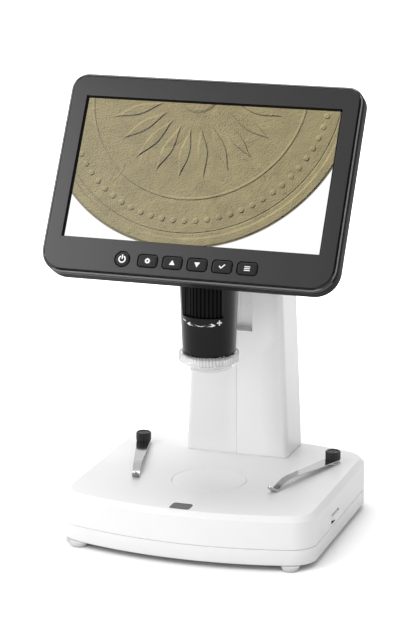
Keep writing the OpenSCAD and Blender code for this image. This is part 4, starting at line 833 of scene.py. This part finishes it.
powerHole = arcPoints(buttonSpec["power"], row, buttonSpec["powerRadius"] + gap, 0, 354, 59)
holes.append(slabPart(powerHole, -4, 3))
cut(bezel, placed(joined(*holes), screenPlace))
dress(bezel, casingDark, "screen", ["front_bezel"], sharp=28)
sideEdge, topEdge, lowEdgeZ = (screenSpec[key] - screenSpec["rim"] for key in ("halfWidth", "up", "down"))
wellSide, wellTop, wellLow = wellHalf + 0.95, wellUp + 0.8, wellDown + 1.1


def bezelFinish(centre, normal):
    spot = fromScreen @ centre
    atEdge = abs(spot.x) > sideEdge or spot.z > topEdge or spot.z < -lowEdgeZ
    # the display well and the groove round the face are made near-black: painted shade in these recesses
    inWell = abs(spot.x) < wellSide and -wellLow < spot.z < wellTop and spot.y > face + 0.1
    inStep = atEdge and (face + 0.3 < spot.y < rimY - 0.1 or abs(spot.y - rimY - 0.25) < 0.02)
    # the raised rim takes the lighter rim colour: a painted highlight
    onHighlightRim = atEdge and rimY - 0.06 < spot.y < rimY + 0.12
    onSide = abs(spot.x) > sideEdge and spot.y > rimY + 0.12
    return 1 if inWell or inStep else 2 if onHighlightRim else 3 if onSide else 0


refinish(bezel, [paintedShadeBlack, casingRimHighlight, casingBack], bezelFinish)

rearProfile = [(5.2, back - 2.2), (2.3, back - 5.2), (2.3, split + 0.02), (0.75, split + 0.02),
               (0.5, split + 0.15), (0.12, split + 0.35), (0.0, split + 0.7), (0.0, back - 4.6),
               (0.12, back - 3.6), (0.5, back - 2.5), (1.2, back - 1.5), (2.3, back - 0.7),
               (3.6, back - 0.22), (5.2, back)]
rearPart = loft([caseOutline(inset, y) for inset, y in rearProfile])
rearSkin = piece("rear_skin", placed(rearPart, screenPlace))
ventSpec = {"pitch": 7, "z": 36, "width": 2.0, "length": 16.0}
inletSpecs = ({"low": 6, "high": 15, "near": 8.1, "far": 11.0},
              {"low": -20, "high": -6, "near": 8.1, "far": 10.3})
caseScrews = {"radius": 2.0, "floor": 11.6,
              "at": ((84.8, 30), (-84.8, 30), (84.8, -30), (-84.8, -30), (62, -60.5), (-62, -60.5))}
ventSlot = roundedBox(ventSpec["width"], ventSpec["length"], 0.98, 5)
openings = [slabPart([(ventSpec["pitch"] * i + x, ventSpec["z"] + z) for x, z in ventSlot], 10, 14)
            for i in range(-4, 5)]
openings += [boxPart((-90.5, inlet["near"], inlet["low"]), (-84.5, inlet["far"], inlet["high"]))
             for inlet in inletSpecs]
openings += [slabPart(arcPoints(x, z, caseScrews["radius"], 0, 348, 29), caseScrews["floor"], 14.2)
             for x, z in caseScrews["at"]]
cut(rearSkin, placed(joined(*openings), screenPlace))
dress(rearSkin, casingBack, "screen", ["rear_cover"], sharp=28)

# lit picture: a generic brass relief with rays and a ring of beads; mm on the screen
pictureSpec = {"width": 154.2, "height": 85.9, "centre": (-9.0, 50.0), "radius": 95.5, "rimWidth": 6.5,
               "beads": 72, "beadRing": 79.0, "rays": 22, "rayStart": 18.0, "rayEnd": 58.0, "rayWidth": 3.4,
               "bossRadius": 13.5, "relief": 0.6, "lampFrom": (-0.55, 0.25, 0.45), "lampContrast": 2.2,
               "glow": 0.96}
pictureColors = {"brass": (0.37, 0.305, 0.145, 1), "dull": (0.26, 0.217, 0.103, 1),
                 "bright": (0.46, 0.39, 0.21, 1), "grime": (0.13, 0.12, 0.07, 1),
                 "edge": (0.16, 0.13, 0.06, 1), "surround": (1.0, 1.0, 1.0, 1)}


def makePictureMaterial():
    made, tree, principled = newMaterial("litPicture")
    s = pictureSpec
    parts = newNode(tree, "SeparateXYZ", Vector=newNode(tree, "UVMap").outputs[0]).outputs
    dx = mathNode(tree, "SUBTRACT", parts[0], s["centre"][0])
    dz = mathNode(tree, "SUBTRACT", parts[1], s["centre"][1])

    def product(a, b):
        return mathNode(tree, "MULTIPLY", a, b)

    def distance(a, b):
        return mathNode(tree, "SQRT", mathNode(tree, "ADD", product(a, a), product(b, b)))

    radius, turn = distance(dx, dz), mathNode(tree, "ARCTAN2", dz, dx)

    def rise(value, start, end):
        return smoothRise(tree, value, start, end)

    def band(inner, outer, slope):
        return product(rise(radius, inner, inner + slope), rise(radius, outer, outer - slope))

    def across(count, at=0.0):  # distance in mm from the middle of the nearest of count sectors
        turns = mathNode(tree, "MULTIPLY_ADD", turn, count / (2 * math.pi), at + 50.0)
        centred = mathNode(tree, "SUBTRACT", mathNode(tree, "FRACT", turns), 0.5)
        return product(product(centred, radius), 2 * math.pi / count)

    size = s["radius"]
    rim = band(size - s["rimWidth"], size - 0.2, 1.3)
    groove = band(size - 9.6, size - 8.4, 0.5)
    innerRing = band(s["rayEnd"] + 6.5, s["rayEnd"] + 8.6, 0.8)
    beadOut = mathNode(tree, "SUBTRACT", radius, s["beadRing"])
    beads = rise(distance(across(s["beads"]), beadOut), 2.1, 0.9)
    along = rise(radius, s["rayStart"], s["rayEnd"])
    swell = product(mathNode(tree, "SINE", product(along, math.pi)), s["rayWidth"])
    rayEdge = mathNode(tree, "SUBTRACT", swell, mathNode(tree, "ABSOLUTE", across(s["rays"], 0.3)))
    rays = product(rise(rayEdge, 0.0, 1.1), band(s["rayStart"], s["rayEnd"], 2.0))
    boss = rise(radius, s["bossRadius"], s["bossRadius"] - 2.5)
    coords = newNode(tree, "TexCoord").outputs["Object"]

    def noise(scale, detail, distortion=0.0):
        node = newNode(tree, "TexNoise", Vector=coords, Scale=scale, Detail=detail, Distortion=distortion)
        return node.outputs["Fac"]

    pits, patches = noise(1400, 6), noise(70, 6, 0.9)
    specks = rise(noise(650, 5), 0.56, 0.7)
    height = mathNode(tree, "ADD", rim, product(groove, -0.5))
    for layer, weight in ((innerRing, 0.6), (beads, 0.8), (rays, 0.9), (boss, 1.0), (pits, 1.1),
                          (patches, 1.3)):
        height = mathNode(tree, "MULTIPLY_ADD", layer, weight, height)
    bump = newNode(tree, "Bump", Distance=s["relief"] * mm, Height=height)
    toObject = newNode(tree, "VectorTransform", Vector=bump.outputs["Normal"])
    toObject.vector_type = "NORMAL"
    toObject.convert_from, toObject.convert_to = "WORLD", "OBJECT"
    facing = newNode(tree, "VectorMath")
    facing.operation = "DOT_PRODUCT"
    tilt = math.radians(screenSpec["tilt"])
    outward = Vector((0, -math.cos(tilt), math.sin(tilt)))
    lampDirection = (outward + Vector(s["lampFrom"])).normalized()
    facing.inputs[1].default_value = lampDirection
    tree.links.new(toObject.outputs[0], facing.inputs[0])
    slope = mathNode(tree, "SUBTRACT", facing.outputs["Value"], outward.dot(lampDirection))
    lit = mathNode(tree, "MULTIPLY_ADD", slope, s["lampContrast"], 1.0)
    contrast = mathNode(tree, "MULTIPLY_ADD", patches, 2.4, -0.7)
    brass = mixColor(tree, contrast, pictureColors["brass"], pictureColors["dull"])
    brass = mixColor(tree, product(pits, 0.45), brass, pictureColors["bright"])
    brass = mixColor(tree, product(specks, 0.4), brass, pictureColors["grime"])
    shade = newNode(tree, "CombineColor", Red=lit, Green=lit, Blue=lit)
    shaded = mixColor(tree, 1.0, brass, shade.outputs[0], "MULTIPLY")
    fringe = mixColor(tree, rise(radius, size - 0.9, size + 0.1), shaded, pictureColors["edge"])
    picture = mixColor(tree, rise(radius, size - 0.1, size + 0.5), fringe, pictureColors["surround"])
    setInputs(tree, principled, Emission_Color=picture, Emission_Strength=s["glow"], Base_Color=grey(0.01),
              Roughness=0.3, Specular_IOR_Level=0.25)
    return made


halfW, halfH = pictureSpec["width"] / 2, pictureSpec["height"] / 2
pictureOutline = [(-halfW, -halfH), (halfW, -halfH), (halfW, halfH), (-halfW, halfH)]
display = piece("display_picture", placed(slabPart(pictureOutline, -0.05, -0.01), screenPlace))
uvLayer = display.data.uv_layers.new(name="screenMillimetres")
for loop in display.data.loops:
    local = fromScreen @ (display.data.vertices[loop.vertex_index].co / mm)
    uvLayer.data[loop.index].uv = (local.x, local.z)
dress(display, makePictureMaterial(), "screen")

# buttons and their icons
flange = {"grow": 0.6, "front": 0.1, "back": 0.9}
iconLevels = (-2.14, -2.0)


def ringPart(cx, cz, outer, inner, start, end, y0, y1, steps=36):
    out = arcPoints(cx, cz, outer, start, end, steps)
    inn = arcPoints(cx, cz, inner, end, start, steps)
    return slabPart(out + inn, y0, y1)


def iconParts(kind, x, z, y0, y1):
    if kind == "power":
        bar = [(x - 0.36, z + 0.1), (x + 0.36, z + 0.1), (x + 0.36, z + 2.7), (x - 0.36, z + 2.7)]
        return [ringPart(x, z - 0.1, 2.25, 1.5, 116, 424, y0, y1), slabPart(bar, y0, y1)]
    if kind == "function":
        halves = []
        for start in (0, 180):
            turns = [math.radians(start + 6 * i) for i in range(31)]
            reach = [1.5 + 0.22 * math.cos(8 * a) for a in turns]
            lobes = [(r * math.cos(a), r * math.sin(a)) for r, a in zip(reach, turns)]
            hole = [(0.62 * math.cos(a), 0.62 * math.sin(a)) for a in reversed(turns)]
            halves.append(slabPart([(x + px, z + pz) for px, pz in lobes + hole], y0, y1))
        return halves
    if kind == "up":
        return [slabPart([(x - 1.7, z - 1.3), (x + 1.7, z - 1.3), (x, z + 1.6)], y0, y1)]
    if kind == "down":
        return [slabPart([(x - 1.7, z + 1.3), (x, z - 1.6), (x + 1.7, z + 1.3)], y0, y1)]
    if kind == "ok":
        tick = [(-1.9, 0.1), (-1.45, 0.55), (-0.5, -0.4), (1.5, 1.6), (1.95, 1.15), (-0.5, -1.35)]
        return [slabPart([(x + px, z + pz) for px, pz in tick], y0, y1)]
    return [slabPart([(x - 1.7, z + dz - 0.26), (x + 1.7, z + dz - 0.26), (x + 1.7, z + dz + 0.26),
                      (x - 1.7, z + dz + 0.26)], y0, y1) for dz in (-1.1, 0, 1.1)]


capLevels = ((0.0, 0.2), (0.0, -1.45), (0.08, -1.75), (0.3, -1.98), (0.7, -2.07), (1.4, -2.1))
keyKinds = [("power", buttonSpec["power"])] + list(zip(("function", "up", "down", "ok", "menu"), buttonXs))


def keyOutline(kind, x, inset):
    if kind == "power":
        return arcPoints(x, row, buttonSpec["powerRadius"] - inset, 0, 352.5, 47)
    corner = max(buttonSpec["radius"] - inset, 0.4)
    outline = roundedBox(buttonSpec["width"] - 2 * inset, buttonSpec["height"] - 2 * inset, corner, 8)
    return [(x + px, row + pz) for px, pz in outline]


for kind, x in keyKinds:
    capPart = loft([[(px, y, pz) for px, pz in keyOutline(kind, x, inset)] for inset, y in capLevels])
    flangePart = slabPart(keyOutline(kind, x, -flange["grow"]), flange["front"], flange["back"])
    stem = slabPart(arcPoints(x, row, 1.5, 0, 345, 23), flange["back"], 1.5)
    key = piece(kind + "_key_cap", placed(joined(capPart, flangePart, stem), screenPlace))
    dress(key, buttonBlack, kind + "_key", [kind + "_button"], sharp=40)
    # the key sides are made near-black: painted shade in the gaps round the keys
    refinish(key, [paintedShadeBlack], lambda spot, normal: (fromScreen.to_3x3() @ normal).y > -0.45)
    icon = piece(kind + "_key_icon", placed(joined(*iconParts(kind, x, row, *iconLevels)), screenPlace))
    dress(icon, iconPaint, kind + "_key")
print("screen made")

# ring light under the barrel
ringSpec = {"inner": 9.6, "outer": 13.9, "thick": 1.6, "domes": 8, "domeRing": 11.4}
boardZ, boardTop = seatLow, seatLow + ringSpec["thick"]
lampBoard = turned([(ringSpec["inner"], boardZ), (ringSpec["outer"], boardZ), (ringSpec["outer"], boardTop),
                    (ringSpec["inner"], boardTop)], 96, wrap=True)
dress(piece("ring_light_plate", lampBoard), circuitGreen, "carriage", ["led_board"])
domeProfile = [(0.1, -1.2), (0.7, -1.1), (1.15, -0.8), (1.3, -0.4), (1.3, 0.05), (0.1, 0.05)]
dome = turned([(r, boardZ + z) for r, z in domeProfile], 24)
outward = Matrix.Translation((ringSpec["domeRing"], 0, 0))
domes = [placed(dome, Matrix.Rotation(math.radians(360 / ringSpec["domes"] * i), 4, "Z") @ outward)
         for i in range(ringSpec["domes"])]
dress(piece("ring_light_lamps", joined(*domes)), iconPaint, "carriage")

# pieces whose solids keep their shape, with eased edges where they can be seen
for node, finish, slotName, width in (
        ("head_arm", headBlack, "head_black", 1.0), ("head_cover", headBlack, "head_black", 0.7),
        ("screen_bracket", bracketPaint, "bracket_steel", 0.5),
        ("power_socket", darkPart, "component", 0.25),
        ("carriage_block", slideAlloy, "slide_alloy", 0.4), ("rod_holders", dieCast, "holder", 0.4),
        ("ballast_plate", castPaint, "ballast", 0.8), ("clip_bushes", turnedSteel, "bush_steel", 0.15),
        ("shaft_bushes", turnedBrass, "brass", 0.2), ("hinge_pin", rackSteel, "rack_steel", 0.3),
        ("pinion_shaft", rackSteel, "rack_steel", 0.1), ("guide_tube", slideAlloy, "slide_alloy", 0.2)):
    softened(node, finish, width)
plainFinishes = {
    "base_screws": platedTin, "light_cup": reflectorWhite, "light_board": circuitGreen,
    "control_board": circuitGreen, "dimmer_pot": darkPart, "column_screws": platedTin,
    "guide_rods": groundSteel, "gear_rack": rackSteel, "carriage_screws": platedTin,
    "camera_board": circuitGreen, "cam_sleeve": turnedBrass, "lens_cell": barrelBlack,
    "front_lens": lensGlass, "lcd_panel": borderBlack, "lcd_backlight": platedTin,
    "main_board": circuitGreen, "button_board": circuitGreen, "screen_sockets": platedTin,
    "screen_screws": platedTin, "bracket_screws": platedTin}
for node, finish in plainFinishes.items():
    nodes[node].data.materials.clear()
    nodes[node].data.materials.append(finish)
    nodes[node].data.set_sharp_from_angle(angle=math.radians(35))
print("carried pieces finished")

# floor, world and lamps
lightSpec = {"ambient": 0.6, "rightShade": 0.75}
floorSpec = {"half": 3000, "thick": 1.0, "lift": 0.46, "contactReach": 0.03, "contactShade": 0.55,
             "openShade": 0.9, "fadeFrom": 0.25, "fadeTo": 0.6}  # reach and fades in metres


def seenDirectly(tree):  # 1 for camera, glossy and transmission rays, 0 for light that falls on things
    path = newNode(tree, "LightPath").outputs
    mirrored = mathNode(tree, "MAXIMUM", path["Is Glossy Ray"], path["Is Transmission Ray"])
    return mathNode(tree, "MAXIMUM", path["Is Camera Ray"], mirrored)


reach = floorSpec["half"]
floor = piece("floor", boxPart((-reach, -reach, tableZ - floorSpec["thick"]), (reach, reach, tableZ)))
floorMaterial, tree, principled = newMaterial("paleFloor")
# ambient occlusion lowers the floor's colour and its glow next to the object: a painted contact shadow on
# top of the lamps' own shadows
nearby = newNode(tree, "AmbientOcclusion", Distance=floorSpec["contactReach"])
nearby.samples = 24
clearance = nearby.outputs["AO"]
away = newNode(tree, "VectorMath", Vector=newNode(tree, "TexCoord").outputs["Object"])
away.operation = "LENGTH"
glow = mathNode(tree, "ADD", mathNode(tree, "MULTIPLY", clearance, floorSpec["lift"]),
                smoothRise(tree, away.outputs["Value"], floorSpec["fadeFrom"], floorSpec["fadeTo"]))
floorToneWithPaintedShade = mixColor(tree, clearance, grey(floorSpec["contactShade"]), grey(floorSpec["openShade"]))
setInputs(tree, principled, Base_Color=floorToneWithPaintedShade, Roughness=0.9, Specular_IOR_Level=0.1,
          Emission_Color=grey(1), Emission_Strength=mathNode(tree, "MULTIPLY", seenDirectly(tree), glow))
floor.data.materials.append(floorMaterial)

world = bpy.data.worlds.new("studio")
scene.world = world
world.use_nodes = True
tree = world.node_tree
aim = newNode(tree, "SeparateXYZ", Vector=newNode(tree, "TexCoord").outputs["Generated"]).outputs
rightward = mathNode(tree, "MAXIMUM", aim[0], 0.0)
ambient = mathNode(tree, "MULTIPLY_ADD", rightward, -lightSpec["ambient"] * lightSpec["rightShade"],
                   lightSpec["ambient"])
setInputs(tree, tree.nodes["Background"], Color=grey(1),
          Strength=mathNode(tree, "MAXIMUM", seenDirectly(tree), ambient))

lamps = {"key": {"at": (-0.64, -0.7, 0.82), "size": 0.45, "power": 3.9},
         "front": {"at": (0.2, -1.2, 0.25), "size": 0.8, "power": 2.3},
         "top": {"at": (-0.1, 0.1, 1.4), "size": 1.0, "power": 12.0}}
for name, spec in lamps.items():
    data = bpy.data.lights.new(name, "AREA")
    data.shape = "SQUARE"
    data.size, data.energy = spec["size"], spec["power"]
    lamp = bpy.data.objects.new(name, data)
    lamp.location = spec["at"]
    lamp.rotation_euler = (Vector((0, 0, 0.08)) - lamp.location).to_track_quat("-Z", "Y").to_euler()
    scene.collection.objects.link(lamp)
scene.view_settings.view_transform = "Standard"
print("lights made")

bpy.context.view_layer.update()
